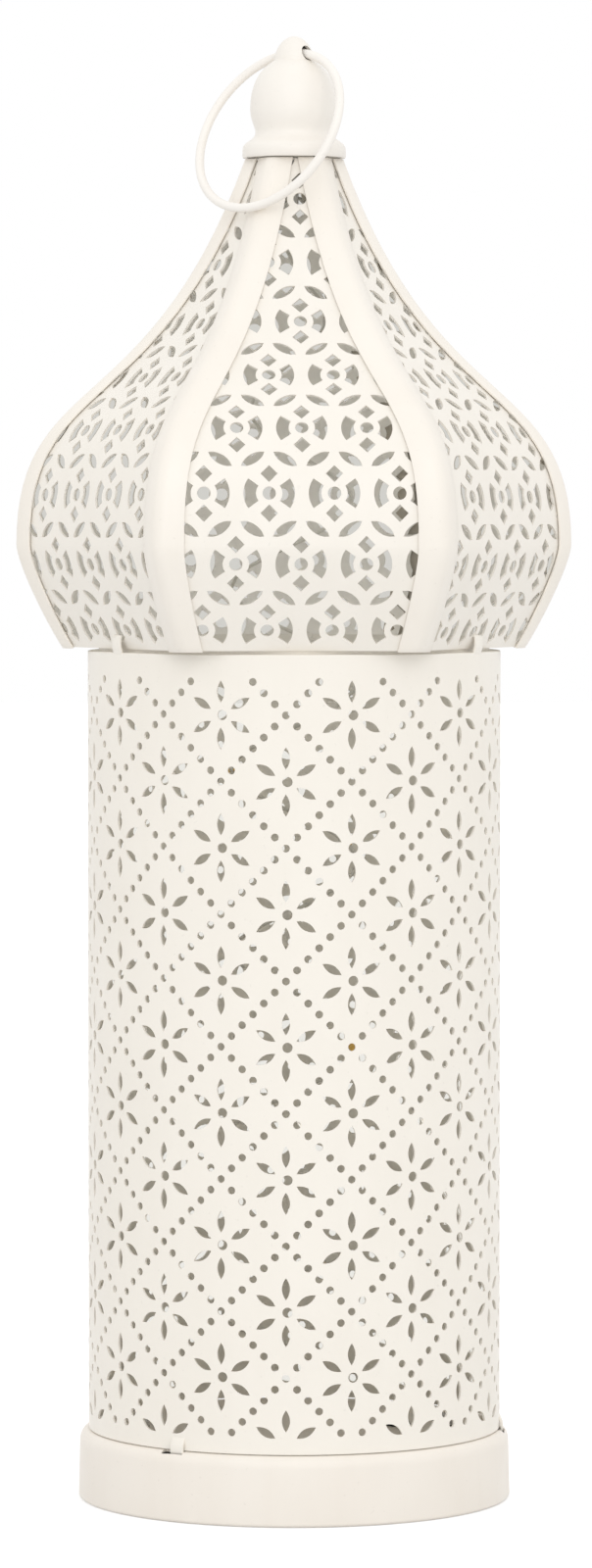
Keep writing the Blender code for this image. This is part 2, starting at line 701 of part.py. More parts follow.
ear_low = box_top - EAR_THICKNESS
ear_bury = BOX_WALL / 2
screw_hole = SCREW_DIAMETER + 2 * GAP
screw_places = (box_left - EAR_LENGTH / 2, box_right + EAR_LENGTH / 2)
for i, screw_x in enumerate(screw_places):
    side = -1 if i == 0 else 1
    inner_x = (box_left if i == 0 else box_right) - side * ear_bury
    outer_x = screw_x + side * EAR_LENGTH / 2
    ear = add_tool(f"box_ear_{i + 1}", span_mesh((min(inner_x, outer_x), -EAR_WIDTH / 2, ear_low),
                                                 (max(inner_x, outer_x), EAR_WIDTH / 2, box_top)))
    combine(battery_box, ear, "UNION")
    hole = add_tool(f"ear_hole_{i + 1}", rod_mesh(screw_hole, ear_low - SHEET, BASE_HEIGHT + SHEET))
    hole.location.x = screw_x
    combine(battery_box, hole, "DIFFERENCE")
    combine(base_pan, hole, "DIFFERENCE")

    head_top = ear_low - GAP
    nut_bottom = BASE_HEIGHT + GAP
    nut_top = nut_bottom + NUT_HEIGHT
    screw_end = nut_top + SCREW_END_PROUD
    head_radius = SCREW_HEAD_WIDTH / 2
    screw_profile = [
        (0, screw_end),
        (SCREW_DIAMETER / 2, screw_end),
        (SCREW_DIAMETER / 2, head_top),
        (head_radius, head_top),
        (head_radius, head_top - SCREW_HEAD_HEIGHT / 2),
        (head_radius * EDGE_ROUND, head_top - SCREW_HEAD_HEIGHT),
        (0, head_top - SCREW_HEAD_HEIGHT),
    ]
    box_screw = turned_piece(f"box_screw_{i + 1}", screw_profile, SMALL_TURN_STEPS, screw_zinc,
                             closed=False)
    box_screw.location.x = screw_x
    box_nut = add_piece(f"box_nut_{i + 1}", nut_mesh(screw_hole, nut_bottom, nut_top), screw_zinc)
    box_nut.location.x = screw_x
    nut_bore_tool = add_tool(f"box_nut_hole_{i + 1}", rod_mesh(screw_hole, BASE_HEIGHT, screw_end))
    nut_bore_tool.location.x = screw_x
    combine(box_nut, nut_bore_tool, "DIFFERENCE")


# Cells with their contacts: the middle cell is turned round, so that they sit in series

def cell_profile():
    """A dry cell standing up, its nub above and its flat end on z = 0."""
    can = CELL_LENGTH - CELL_NUB_LENGTH
    radius = CELL_DIAMETER / 2
    return [
        (0, CELL_LENGTH),
        (CELL_NUB_DIAMETER / 2, CELL_LENGTH),
        (CELL_NUB_DIAMETER / 2, can),
        (radius - CELL_EDGE, can),
        (radius, can - CELL_EDGE),
        (radius, CELL_EDGE),
        (radius - CELL_EDGE, 0),
        (0, 0),
    ]


cell_end = -cell_bay_length / 2 + 2 * GAP + SPRING_LENGTH
contact_end = cell_bay_length / 2 - GAP
for i in range(CELL_COUNT):
    row = (i - (CELL_COUNT - 1) / 2) * cell_spacing
    seat = bpy.data.objects.new(f"cell_seat_{i + 1}", None)
    parts.objects.link(seat)
    seat.location = (BOX_BATTERY_SHIFT, row, cell_height)
    seat.rotation_euler.z = math.pi * (i % 2)

    cell = turned_piece(f"cell_{i + 1}", cell_profile(), SMALL_TURN_STEPS, cell_sleeve, closed=False)
    cell.parent = seat
    cell.location.x = cell_end
    cell.rotation_euler.y = math.radians(90)

    coil = []
    coil_count = int(SPRING_TURNS * SPRING_STEPS)
    spring_run = SPRING_LENGTH - SPRING_WIRE
    for k in range(coil_count + 1):
        share = k / coil_count
        radius = SPRING_WIDE_RADIUS + (SPRING_NARROW_RADIUS - SPRING_WIDE_RADIUS) * share
        angle = math.tau * k / SPRING_STEPS
        along = -cell_bay_length / 2 + GAP + SPRING_WIRE / 2 + spring_run * share
        coil.append((along, radius * math.cos(angle), radius * math.sin(angle)))
    spring = wire_piece(f"contact_spring_{i + 1}", coil, SPRING_WIRE, contact_nickel)
    spring.parent = seat

    plate = add_piece(f"contact_plate_{i + 1}",
                      block_mesh((CONTACT_SHEET, CONTACT_WIDTH, CONTACT_HEIGHT),
                                 (contact_end - CONTACT_SHEET / 2, 0, 0)), contact_nickel)
    plate.parent = seat


# Battery door: closes the cells' half of the tray, and comes off downwards

cover_joint = (cell_bay_right + board_bay_left) / 2
door_seat = Vector((BOX_BATTERY_SHIFT, 0, door_top))
door_low = Vector((box_left, -box_width / 2, door_bottom))
door_high = Vector((cover_joint - GAP / 2, box_width / 2, door_top))
door_plate = span_mesh(door_low - door_seat, door_high - door_seat)
battery_door = add_piece("battery_door", door_plate, white_plastic)
battery_door.location = door_seat
lip_start = box_left + DOOR_LIP_SETBACK
lip_end = cell_bay_right - DOOR_LIP_SETBACK
lip_outside = bay_half - GAP
lip_inside = lip_outside - DOOR_THICKNESS / 2
lip_root = door_top - DOOR_THICKNESS / 2
for i, (near, far) in enumerate(((-lip_outside, -lip_inside), (lip_inside, lip_outside))):
    lip_mesh = span_mesh((lip_start, near, lip_root), (lip_end, far, door_top + DOOR_LIP_HEIGHT))
    lip = add_tool(f"door_lip_{i + 1}", lip_mesh)
    combine(battery_door, lip, "UNION")


# Switch cover: closes the board's half of the tray, with a slot for the slider

switch_cover = add_piece("switch_cover", span_mesh((cover_joint + GAP / 2, -box_width / 2, door_bottom),
                                                   (box_right, box_width / 2, door_top)), white_plastic)
slider_play = KNOB_TRAVEL / 2 + 2 * GAP
cover_slot = add_tool("cover_slot", block_mesh(
    (KNOB_WIDTH + 4 * GAP, KNOB_LENGTH + 2 * slider_play, 4 * DOOR_THICKNESS), (board_x, 0, door_bottom)))
combine(switch_cover, cover_slot, "DIFFERENCE")

pilot = COVER_SCREW_DIAMETER + 2 * GAP
boss = pilot + 2 * BOSS_WALL
boss_x = board_bay_left + boss / 2 - GAP
boss_y = bay_half - boss / 2 + GAP
cover_screw_top = door_top + COVER_SCREW_LENGTH
cover_head_top = door_bottom - GAP
cover_head = COVER_SCREW_HEAD / 2
cover_thread = COVER_SCREW_DIAMETER / 2
cover_screw_profile = [
    (0, cover_screw_top - GAP),
    (cover_thread, cover_screw_top - GAP),
    (cover_thread, cover_head_top),
    (cover_head, cover_head_top),
    (cover_head * EDGE_ROUND, cover_head_top - COVER_SCREW_HEAD_HEIGHT),
    (0, cover_head_top - COVER_SCREW_HEAD_HEIGHT),
]
for i, side in enumerate((-1, 1)):
    boss_post = add_tool(f"cover_boss_{i + 1}", rod_mesh(boss, box_rim, box_roof + BOX_WALL / 2))
    pilot_hole = add_tool(f"cover_pilot_{i + 1}", rod_mesh(pilot, door_bottom - SHEET, cover_screw_top))
    boss_post.location = (boss_x, side * boss_y, 0)
    pilot_hole.location = boss_post.location
    combine(battery_box, boss_post, "UNION")
    combine(battery_box, pilot_hole, "DIFFERENCE")
    combine(switch_cover, pilot_hole, "DIFFERENCE")
    cover_screw = turned_piece(f"cover_screw_{i + 1}", cover_screw_profile, SMALL_TURN_STEPS, screw_zinc,
                               closed=False)
    cover_screw.location = boss_post.location


# Circuit board: staked on two posts of the box, with the switch under it

circuit_board = add_piece("circuit_board", span_mesh(
    (board_x - BOARD_WIDTH / 2, -BOARD_LENGTH / 2, board_bottom),
    (board_x + BOARD_WIDTH / 2, BOARD_LENGTH / 2, board_top)), green_board)
for i, side in enumerate((-1, 1)):
    pin_low = board_bottom - BOARD_SHEET
    pin_high = board_top + BOARD_SHEET
    post_mesh = rod_mesh(POST_DIAMETER, board_top + GAP, box_roof + BOX_WALL / 2)
    post = add_tool(f"board_post_{i + 1}", post_mesh)
    pin = add_tool(f"board_pin_{i + 1}", rod_mesh(POST_PIN_DIAMETER, pin_low, pin_high))
    hole_mesh = rod_mesh(POST_PIN_DIAMETER + 2 * GAP, pin_low, pin_high)
    pin_hole = add_tool(f"board_hole_{i + 1}", hole_mesh)
    for tool in (post, pin, pin_hole):
        tool.location = (board_x, side * POST_SPREAD, 0)
    combine(battery_box, post, "UNION")
    combine(battery_box, pin, "UNION")
    combine(circuit_board, pin_hole, "DIFFERENCE")


# Slide switch: a pressed can with a slider held by its foot

can_top = board_bottom - GAP
can_bottom = door_top + GAP
switch_body = add_piece("switch_body", span_mesh(
    (board_x - SWITCH_WIDTH / 2, -SWITCH_LENGTH / 2, can_bottom),
    (board_x + SWITCH_WIDTH / 2, SWITCH_LENGTH / 2, can_top)), switch_steel)
foot_room = KNOB_FOOT + 2 * GAP
slot_length = KNOB_LENGTH + KNOB_TRAVEL + 2 * GAP
room_half_width = SWITCH_WIDTH / 2 - SWITCH_SHELL
room_half_length = SWITCH_LENGTH / 2 - SWITCH_SHELL
room_low = can_bottom + SWITCH_SHELL
can_slot = add_tool("can_slot", block_mesh(
    (KNOB_WIDTH + 2 * GAP, slot_length, 4 * SWITCH_SHELL), (board_x, 0, can_bottom)))
can_room = add_tool("can_room", span_mesh(
    (board_x - room_half_width, -room_half_length, room_low),
    (board_x + room_half_width, room_half_length, room_low + foot_room)))
combine(switch_body, can_slot, "DIFFERENCE")
combine(switch_body, can_room, "DIFFERENCE")

slider_seat = Vector((board_x, -KNOB_TRAVEL / 2, can_bottom))
knob_low = door_bottom - KNOB_PROUD - can_bottom
foot_low = SWITCH_SHELL + GAP
knob_mesh = span_mesh((-KNOB_WIDTH / 2, -KNOB_LENGTH / 2, knob_low),
                      (KNOB_WIDTH / 2, KNOB_LENGTH / 2, foot_low + KNOB_FOOT / 2))
switch_slider = add_piece("switch_slider", knob_mesh, black_plastic)
foot_half = room_half_width - GAP
foot_length = KNOB_LENGTH + 2 * GAP
slider_foot = add_tool("slider_foot", block_mesh(
    (2 * foot_half, foot_length, KNOB_FOOT), (0, 0, foot_low + KNOB_FOOT / 2)))
switch_slider.location = slider_seat
slider_foot.parent = switch_slider
combine(switch_slider, slider_foot, "UNION")


# Grommet: a rubber bush that takes the lead through the base plate and the roof of the box

grommet_top = BASE_HEIGHT + GAP + GROMMET_LIP
grommet_bottom = plate_under - GAP - GROMMET_LIP
grommet_bore = (LEAD_DIAMETER + GROMMET_PLAY) / 2
grommet_profile = [
    (GROMMET_FLANGE / 2 * EDGE_ROUND, grommet_top),
    (GROMMET_FLANGE / 2, grommet_top - GROMMET_LIP),
    (GROMMET_NECK / 2, grommet_top - GROMMET_LIP),
    (GROMMET_NECK / 2, grommet_bottom + GROMMET_LIP),
    (GROMMET_FLANGE / 2, grommet_bottom + GROMMET_LIP),
    (GROMMET_FLANGE / 2 * EDGE_ROUND, grommet_bottom),
    (grommet_bore, grommet_bottom),
    (grommet_bore, grommet_top),
]
lead_grommet = turned_piece("lead_grommet", grommet_profile, SMALL_TURN_STEPS, black_rubber)
lead_grommet.location.x = board_x
plate_hole = add_tool("grommet_plate_hole", rod_mesh(GROMMET_NECK + 2 * GAP, box_top, BASE_HEIGHT + SHEET))
roof_hole = add_tool("grommet_roof_hole", rod_mesh(GROMMET_FLANGE + 2 * GAP, box_roof - SHEET, plate_under))
plate_hole.location.x = board_x
roof_hole.location.x = board_x
combine(base_pan, plate_hole, "DIFFERENCE")
combine(battery_box, roof_hole, "DIFFERENCE")


# Light string: a thin lead that rises from the board, winds up the body and hangs on the hook

def ease(share):
    """A smooth step from 0 to 1."""
    share = min(max(share, 0), 1)
    return share * share * (3 - 2 * share)


lead_over = hook_low - HOOK_BEND + HOOK_WIRE / 2 + GAP + LEAD_DIAMETER / 2
coil_bottom = BASE_HEIGHT + LEAD_RISE
coil_pitch = (lead_over - LEAD_COIL_DROP - coil_bottom) / LEAD_COIL_TURNS


def coil_point(step):
    """The lead's helix, which draws in from the grommet and again under the crown."""
    turns = step / LEAD_COIL_STEPS
    settle = ease(turns / LEAD_SETTLE_TURNS)
    taper = ease((turns - LEAD_COIL_TURNS + LEAD_TAPER_TURNS) / LEAD_TAPER_TURNS)
    radius = board_x + (LEAD_COIL_RADIUS - board_x) * settle
    radius += (LEAD_TOP_RADIUS - LEAD_COIL_RADIUS) * taper
    angle = math.tau * turns
    height = coil_bottom + coil_pitch * turns
    return Vector((radius * math.cos(angle), radius * math.sin(angle), height))


lead_route = [Vector((board_x, 0, board_top + GAP)), Vector((board_x, 0, BASE_HEIGHT))]
coil_steps = int(LEAD_COIL_TURNS * LEAD_COIL_STEPS)
lead_route += [coil_point(step) for step in range(coil_steps + 1)]
hang = HOOK_BEND
lead_route += [
    Vector((-1.3 * hang, 1.3 * hang, lead_over - 2.0 * hang)),
    Vector((-1.1 * hang, hang, lead_over - 1.1 * hang)),
    Vector((-0.8 * hang, hang, lead_over - 0.4 * hang)),
    Vector((-0.4 * hang, hang, lead_over)),
    Vector((0.4 * hang, hang, lead_over)),
    Vector((0.8 * hang, hang, lead_over - 0.4 * hang)),
    Vector((1.0 * hang, hang, lead_over - 1.2 * hang)),
]
wire_piece("light_lead", lead_route, LEAD_DIAMETER, clear_lead)

bead_bore = LEAD_DIAMETER / 2 + GAP
bead_half = BEAD_LENGTH / 2
bead_radius = BEAD_DIAMETER / 2
bead_shoulder = bead_half * math.sqrt(1 - BEAD_ROUND ** 2)
bead_profile = [
    (bead_bore + GAP, bead_half),
    (bead_radius * BEAD_ROUND, bead_shoulder),
    (bead_radius, 0),
    (bead_radius * BEAD_ROUND, -bead_shoulder),
    (bead_bore + GAP, -bead_half),
    (bead_bore, -bead_half),
    (bead_bore, bead_half),
]
for i in range(BEAD_COUNT):
    step = BEAD_FIRST_STEP + i * BEAD_EVERY_STEPS
    low = coil_point(step)
    high = coil_point(step + 1)
    bead = turned_piece(f"light_bead_{i + 1}", bead_profile, BEAD_STEPS, amber_bead)
    bead.location = (low + high) / 2
    bead.rotation_euler = (high - low).to_track_quat("Z", "Y").to_euler()
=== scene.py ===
"""Looks of the LED lantern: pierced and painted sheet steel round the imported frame, put together from
the base up, then lit in a plain white studio.
"""

import json
import math

import bpy
from mathutils import Matrix, Vector


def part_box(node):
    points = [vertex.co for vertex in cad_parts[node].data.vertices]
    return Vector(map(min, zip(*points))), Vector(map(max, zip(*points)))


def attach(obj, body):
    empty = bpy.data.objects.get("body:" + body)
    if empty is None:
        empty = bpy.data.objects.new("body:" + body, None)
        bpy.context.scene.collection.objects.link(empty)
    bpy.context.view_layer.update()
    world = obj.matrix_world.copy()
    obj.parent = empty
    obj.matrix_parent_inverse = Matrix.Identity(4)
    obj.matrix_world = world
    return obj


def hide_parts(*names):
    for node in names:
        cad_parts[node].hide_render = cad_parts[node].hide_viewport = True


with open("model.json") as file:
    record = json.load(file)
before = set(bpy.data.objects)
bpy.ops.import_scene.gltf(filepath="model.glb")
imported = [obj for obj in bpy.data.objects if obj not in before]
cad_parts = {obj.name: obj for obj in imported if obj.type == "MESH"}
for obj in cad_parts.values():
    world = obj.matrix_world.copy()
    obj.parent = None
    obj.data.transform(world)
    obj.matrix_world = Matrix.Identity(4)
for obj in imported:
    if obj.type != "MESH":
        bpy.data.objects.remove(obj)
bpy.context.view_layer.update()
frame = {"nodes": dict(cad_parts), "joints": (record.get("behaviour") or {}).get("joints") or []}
nodes = frame["nodes"]
mm = 0.001
bpy.ops.object.select_all(action="DESELECT")


# Base pan
# The foot of the lantern: a steel pan pressed from one sheet and stood upside down. Its shoulder is rounded,
# its wall flares a little and its foot edge is rolled inwards. The deck has slots that take the body's tabs.

class Shade:
    """One output of a material's nodes; sums with it add Math nodes."""

    def __init__(self, tree, socket=None):
        self.tree = tree
        self.socket = socket

    def node(self, kind, settings=None, inputs=None, output=0):
        """Adds a node: its settings are set first, then the values or links of its sockets."""
        made = self.tree.nodes.new(kind)
        for name, value in (settings or {}).items():
            setattr(made, name, value)
        for name, value in (inputs or {}).items():
            if isinstance(value, Shade):
                self.tree.links.new(value.socket, made.inputs[name])
            else:
                made.inputs[name].default_value = value
        return Shade(self.tree, made.outputs[output])

    def math(self, operation, first, second):
        """A Math node on two values, each a number or a Shade."""
        return self.node("ShaderNodeMath", {"operation": operation}, {0: first, 1: second})

    def __add__(self, other):
        return self.math("ADD", self, other)

    def __radd__(self, other):
        return self.math("ADD", other, self)

    def __sub__(self, other):
        return self.math("SUBTRACT", self, other)

    def __rsub__(self, other):
        return self.math("SUBTRACT", other, self)

    def __mul__(self, other):
        return self.math("MULTIPLY", self, other)

    def __rmul__(self, other):
        return self.math("MULTIPLY", other, self)

    def noise(self, scale, detail=2.0, roughness=0.5):
        """Cloudy noise read at this place, between 0 and 1."""
        return self.node("ShaderNodeTexNoise", None, {
            "Vector": self, "Scale": scale, "Detail": detail, "Roughness": roughness})

    def stretched(self, scale):
        """This place with its axes scaled."""
        return self.node("ShaderNodeMapping", None, {"Vector": self, "Scale": scale})

    def window(self, low, high):
        """A smooth step of this value from 0 at low to 1 at high."""
        return self.node("ShaderNodeMapRange", {"interpolation_type": "SMOOTHSTEP"}, {
            "Value": self, "From Min": low, "From Max": high})

    def tint(self, colour, other):
        """A colour that turns into another as this value goes from 0 to 1."""
        return self.node("ShaderNodeMix", {"data_type": "RGBA"}, {
            0: self, 6: colour if isinstance(colour, Shade) else (*colour, 1),
            7: other if isinstance(other, Shade) else (*other, 1)}, output=2)

    def raise_skin(self, shader, strength, distance):
        """Bumps the shader's surface by this value."""
        bump = self.node("ShaderNodeBump", None, {"Strength": strength, "Distance": distance, "Height": self})
        bump.feed(shader, "Normal")

    def feed(self, shader, name):
        """Links this value to a socket of the shader."""
        self.tree.links.new(self.socket, shader.inputs[name])


def start_finish(name):
    """A new material with its Principled shader and its place on the piece."""
    material = bpy.data.materials.new(name)
    material.use_nodes = True
    tree = material.node_tree
    place = Shade(tree).node("ShaderNodeTexCoord", output="Object")
    return material, tree.nodes["Principled BSDF"], place


def sprayed_paint(name, colour, shadow_colour, roughness, peel):
    """Stove paint on steel: faint clouds of colour, specks of dust, and an orange-peel skin."""
    material, shader, place = start_finish(name)
    cloud_scale = 34
    streak_scale = 150
    speck_scale = 900
    fine_peel_scale = 620
    coarse_peel_scale = 150
    speck_strength = 0.18
    speck_darkness = 0.72
    peel_depth = 0.05 * mm
    smoothest, roughest = roughness
    clouds = place.noise(cloud_scale, 4.0, 0.55).window(0.30, 0.72)
    streaks = place.stretched((1, 1, 0.12)).noise(streak_scale, 3.0).window(0.35, 0.75)
    specks = place.noise(speck_scale, 1.0).window(0.70, 0.80)
    toned = (clouds * 0.6 + streaks * 0.4).tint(colour, shadow_colour)
    dusty = [speck_darkness * channel for channel in shadow_colour]
    (specks * speck_strength).tint(toned, dusty).feed(shader, "Base Color")
    (clouds * (roughest - smoothest) + smoothest).feed(shader, "Roughness")
    skin = place.noise(fine_peel_scale, 2.0) * 0.7 + place.noise(coarse_peel_scale, 2.0) * 0.9
    skin.raise_skin(shader, peel, peel_depth)
    shader.inputs["Coat Weight"].default_value = 0.12
    shader.inputs["Coat Roughness"].default_value = 0.35
    return material


def cubic(start, leave, arrive, end, count):
    """Points along a cubic curve in a plane, each with its direction, without the last one."""
    start, leave, arrive, end = (Vector(point) for point in (start, leave, arrive, end))
    samples = []
    for i in range(count):
        t = i / count
        s = 1 - t
        point = start * s**3 + leave * 3 * s * s * t + arrive * 3 * s * t * t + end * t**3
        along = (leave - start) * s * s + (arrive - leave) * 2 * s * t + (end - arrive) * t * t
        samples.append((point, along.normalized()))
    return samples


def pick(*pieces):
    """Selects these pieces alone; the last one is active."""
    bpy.ops.object.select_all(action="DESELECT")
    for piece in pieces:
        piece.select_set(True)
        bpy.context.view_layer.objects.active = piece


def edit_all(piece):
    """Opens a piece in edit mode with all of it selected."""
    pick(piece)
    bpy.ops.object.mode_set(mode="EDIT")
    bpy.ops.mesh.select_all(action="SELECT")


def drawn_piece(name, lines, filled=False):
    """A mesh object from lines drawn through points; filled ones are an outline and its holes, in a plane."""
    curve = bpy.data.curves.new(name, "CURVE")
    curve.dimensions = "2D" if filled else "3D"
    if filled:
        curve.fill_mode = "FRONT"
    for line in lines:
        spline = curve.splines.new("POLY")
        spline.points.add(len(line) - 1)
        for knot, point in zip(spline.points, line):
            knot.co = (*point, 0, 1) if filled else (*point, 1)
        spline.use_cyclic_u = filled
    piece = bpy.data.objects.new(name, curve)
    bpy.context.scene.collection.objects.link(piece)
    pick(piece)
    bpy.ops.object.convert(target="MESH")
    return bpy.context.object


weld = 0.005 * mm


def spun(name, profile, steps):
    """A surface turned about Z from (radius, height) points."""
    piece = drawn_piece(name, [[(radius, 0, height) for radius, height in profile]])
    edit_all(piece)
    bpy.ops.mesh.spin(steps=steps, angle=math.tau, center=(0, 0, 0), axis=(0, 0, 1))
    bpy.ops.mesh.select_all(action="SELECT")
    bpy.ops.mesh.remove_doubles(threshold=weld)
    bpy.ops.mesh.normals_make_consistent(inside=False)
    bpy.ops.object.mode_set(mode="OBJECT")
    return piece


def apply_modifier(piece, name, kind, **settings):
    """Adds a modifier, sets it and applies it."""
    modifier = piece.modifiers.new(name, kind)
    for key, value in settings.items():
        setattr(modifier, key, value)
    pick(piece)
    bpy.ops.object.modifier_apply(modifier=name)


def cut_out(piece, cutter):
    """Cuts a piece with another and removes the cutter."""
    apply_modifier(piece, "cut", "BOOLEAN", operation="DIFFERENCE", solver="EXACT", object=cutter)
    bpy.data.objects.remove(cutter)


def turn_about_axis(piece, angle):
    """Turns a piece about the lantern's axis, in its mesh."""
    piece.rotation_euler.z = angle
    pick(piece)
    bpy.ops.object.transform_apply(location=False, rotation=True, scale=False)


def soften(piece, degrees=35):
    """Shades a piece smooth, with its sharper edges kept."""
    pick(piece)
    bpy.ops.object.shade_smooth_by_angle(angle=math.radians(degrees))


def finish_piece(piece, material, slot, body, *replaced):
    """Paints a piece and ties it to the frame."""
    if material:
        piece.data.materials.clear()
        piece.data.materials.append(material)
    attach(piece, body)
    if replaced:
        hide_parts(*replaced)


sheet = 0.6 * mm
gap = 0.3 * mm
base_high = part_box("base_pan")[1]
foot_radius = base_high.x
deck_height = base_high.z
tube_radius = 55.55 * mm
ledge = 2.4 * mm
shoulder_drop = 3.4 * mm
foot_round = 1.0 * mm
lip_width = 3.4 * mm
deck_flat = 8 * mm
shoulder_steps = 10
foot_steps = 6
pan_steps = 144

pan_profile = [(0, deck_height), (tube_radius - deck_flat, deck_height)]
for i in range(shoulder_steps + 1):
    angle = math.radians(90) * (1 - i / shoulder_steps)
    pan_profile.append((tube_radius + ledge * math.cos(angle),
                        deck_height - shoulder_drop + shoulder_drop * math.sin(angle)))
for i in range(foot_steps + 1):
    angle = math.radians(90) * i / foot_steps
    pan_profile.append((foot_radius - foot_round * (1 - math.cos(angle)),
                        foot_round * (1 - math.sin(angle))))
pan_profile.append((foot_radius - lip_width, 0))
base_pan = spun("lantern_base", pan_profile, pan_steps)
apply_modifier(base_pan, "sheet", "SOLIDIFY", thickness=sheet, offset=-1, use_even_offset=True)

foot_tabs = 3
foot_tab_azimuth = math.radians(-35)
foot_tab_width = 4.0 * mm
slot_play = 1.3 * mm
slot_width = 2.4 * mm
slot_out = 0.2 * mm
cut_depth = 6 * sheet
slot_size = Matrix.Diagonal((foot_tab_width + 2 * slot_play, slot_width, cut_depth, 1))
slot_place = Matrix.Translation((-slot_play, -tube_radius - slot_out, deck_height))
for i in range(foot_tabs):
    bpy.ops.mesh.primitive_cube_add(size=1)
    cutter = bpy.context.object
    slot_turn = Matrix.Rotation(foot_tab_azimuth + math.tau * i / foot_tabs, 4, "Z")
    cutter.matrix_world = slot_turn @ slot_place @ slot_size
    cut_out(base_pan, cutter)
deck_holes = {"box_screw_1": 3.6 * mm, "box_screw_2": 3.6 * mm, "lead_grommet": 5.0 * mm}
for name, hole_width in deck_holes.items():
    low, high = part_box(name)
    bpy.ops.mesh.primitive_cylinder_add(vertices=32, radius=hole_width / 2, depth=cut_depth,
                                        location=((low.x + high.x) / 2, 0, deck_height))
    cut_out(base_pan, bpy.context.object)
soften(base_pan)
base_paint = sprayed_paint("base_paint", (0.878, 0.824, 0.75), (0.85, 0.79, 0.712),
                           roughness=(0.40, 0.52), peel=0.30)
finish_piece(base_pan, base_paint, "base_paint", "lantern", "base_pan")


# Battery box, door and switch cover
# Three mouldings of white plastic: a tray screwed up under the deck, a door that snaps over the cells and
# a cover over the switch. Their edges are rounded by the mould, and the door has ribs to grip.

def moulded_plastic(name, colour, roughness, grain):
    """Moulded plastic: almost even colour, with a fine sparked grain."""
    material, shader, place = start_finish(name)
    cloud_scale = 45
    grain_scale = 2600
    grain_depth = 0.03 * mm
    clouds = place.noise(cloud_scale, 3.0)
    shade_colour = [0.93 * channel for channel in colour]
    clouds.window(0.35, 0.70).tint(colour, shade_colour).feed(shader, "Base Color")
    (clouds * 0.12 + roughness).feed(shader, "Roughness")
    place.noise(grain_scale, 2.0).raise_skin(shader, grain, grain_depth)
    return material


def rounded_copy(node, name, width):
    """A copy of a CAD node, welded and with its edges rounded."""
    piece = nodes[node].copy()
    piece.data = nodes[node].data.copy()
    piece.name = name
    piece.parent = None
    piece.matrix_world = Matrix.Identity(4)
    bpy.context.scene.collection.objects.link(piece)
    edit_all(piece)
    bpy.ops.mesh.customdata_custom_splitnormals_clear()
    bpy.ops.mesh.remove_doubles(threshold=weld)
    bpy.ops.mesh.dissolve_limited(angle_limit=math.radians(1))
    bpy.ops.mesh.normals_make_consistent(inside=False)
    bpy.ops.object.mode_set(mode="OBJECT")
    if width:
        apply_modifier(piece, "rounding", "BEVEL", width=width, segments=3, limit_method="ANGLE",
                       angle_limit=math.radians(40), use_clamp_overlap=True)
    return piece


def add_bar(name, low, high, width):
    """A bar between two corners with rounded edges."""
    bpy.ops.mesh.primitive_cube_add(size=1)
    bar = bpy.context.object
    bar.name = name
    low, high = Vector(low), Vector(high)
    bar.matrix_world = Matrix.Translation((low + high) / 2) @ Matrix.Diagonal((*(high - low), 1))
    pick(bar)
    bpy.ops.object.transform_apply(location=True, rotation=True, scale=True)
    apply_modifier(bar, "rounding", "BEVEL", width=width, segments=2, limit_method="NONE")
    return bar


def join_into(piece, *others):
    """Joins pieces into the first one."""
    pick(*others, piece)
    bpy.ops.object.join()


white_plastic = moulded_plastic("white_plastic", (0.84, 0.84, 0.82), roughness=0.36, grain=0.2)
box = rounded_copy("battery_box", "battery_tray", 0.25 * mm)
soften(box)
finish_piece(box, white_plastic, "white_plastic", "lantern", "battery_box")

cover = rounded_copy("switch_cover", "switch_lid", 0.2 * mm)
soften(cover)
finish_piece(cover, white_plastic, "white_plastic", "lantern", "switch_cover")

door = rounded_copy("battery_door", "cell_door", 0.2 * mm)
door_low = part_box("battery_door")[0]
grip_ribs = 5
grip_pitch = 2.2 * mm
grip_length = 14 * mm
grip_proud = 0.5 * mm
grip_round = 0.2 * mm
grip_start = door_low.x + 4 * mm
bars = []
for i in range(grip_ribs):
    left = grip_start + i * grip_pitch
    bars.append(add_bar("grip_rib", (left, -grip_length / 2, door_low.z - grip_proud),
                        (left + grip_pitch / 2, grip_length / 2, door_low.z + grip_proud), grip_round))
join_into(door, *bars)
soften(door)
finish_piece(door, white_plastic, "white_plastic", "door", "battery_door")


# Switch and circuit board
# A slide switch in a pressed tin can, its black slider through the cover, soldered to a small green board.

def bare_metal(name, colour, roughness, brush):
    """Bare or plated metal with fine marks that run along one direction."""
    material, shader, place = start_finish(name)
    mark_scale = 700
    tarnish_scale = 120
    mark_depth = 0.02 * mm
    marks = place.stretched(brush).noise(mark_scale, 4.0, 0.7)
    tarnish = place.noise(tarnish_scale, 4.0, 0.6).window(0.40, 0.75)
    dull = [0.80 * channel for channel in colour]
    (tarnish * 0.6 + marks * 0.3).tint(colour, dull).feed(shader, "Base Color")
    (marks * 0.22 + tarnish * 0.10 + roughness).feed(shader, "Roughness")
    shader.inputs["Metallic"].default_value = 1.0
    marks.raise_skin(shader, 0.15, mark_depth)
    return material


def dress(material, *names):
    """Gives CAD nodes that stay as they are a better material."""
    for name in names:
        nodes[name].data.materials[0] = material


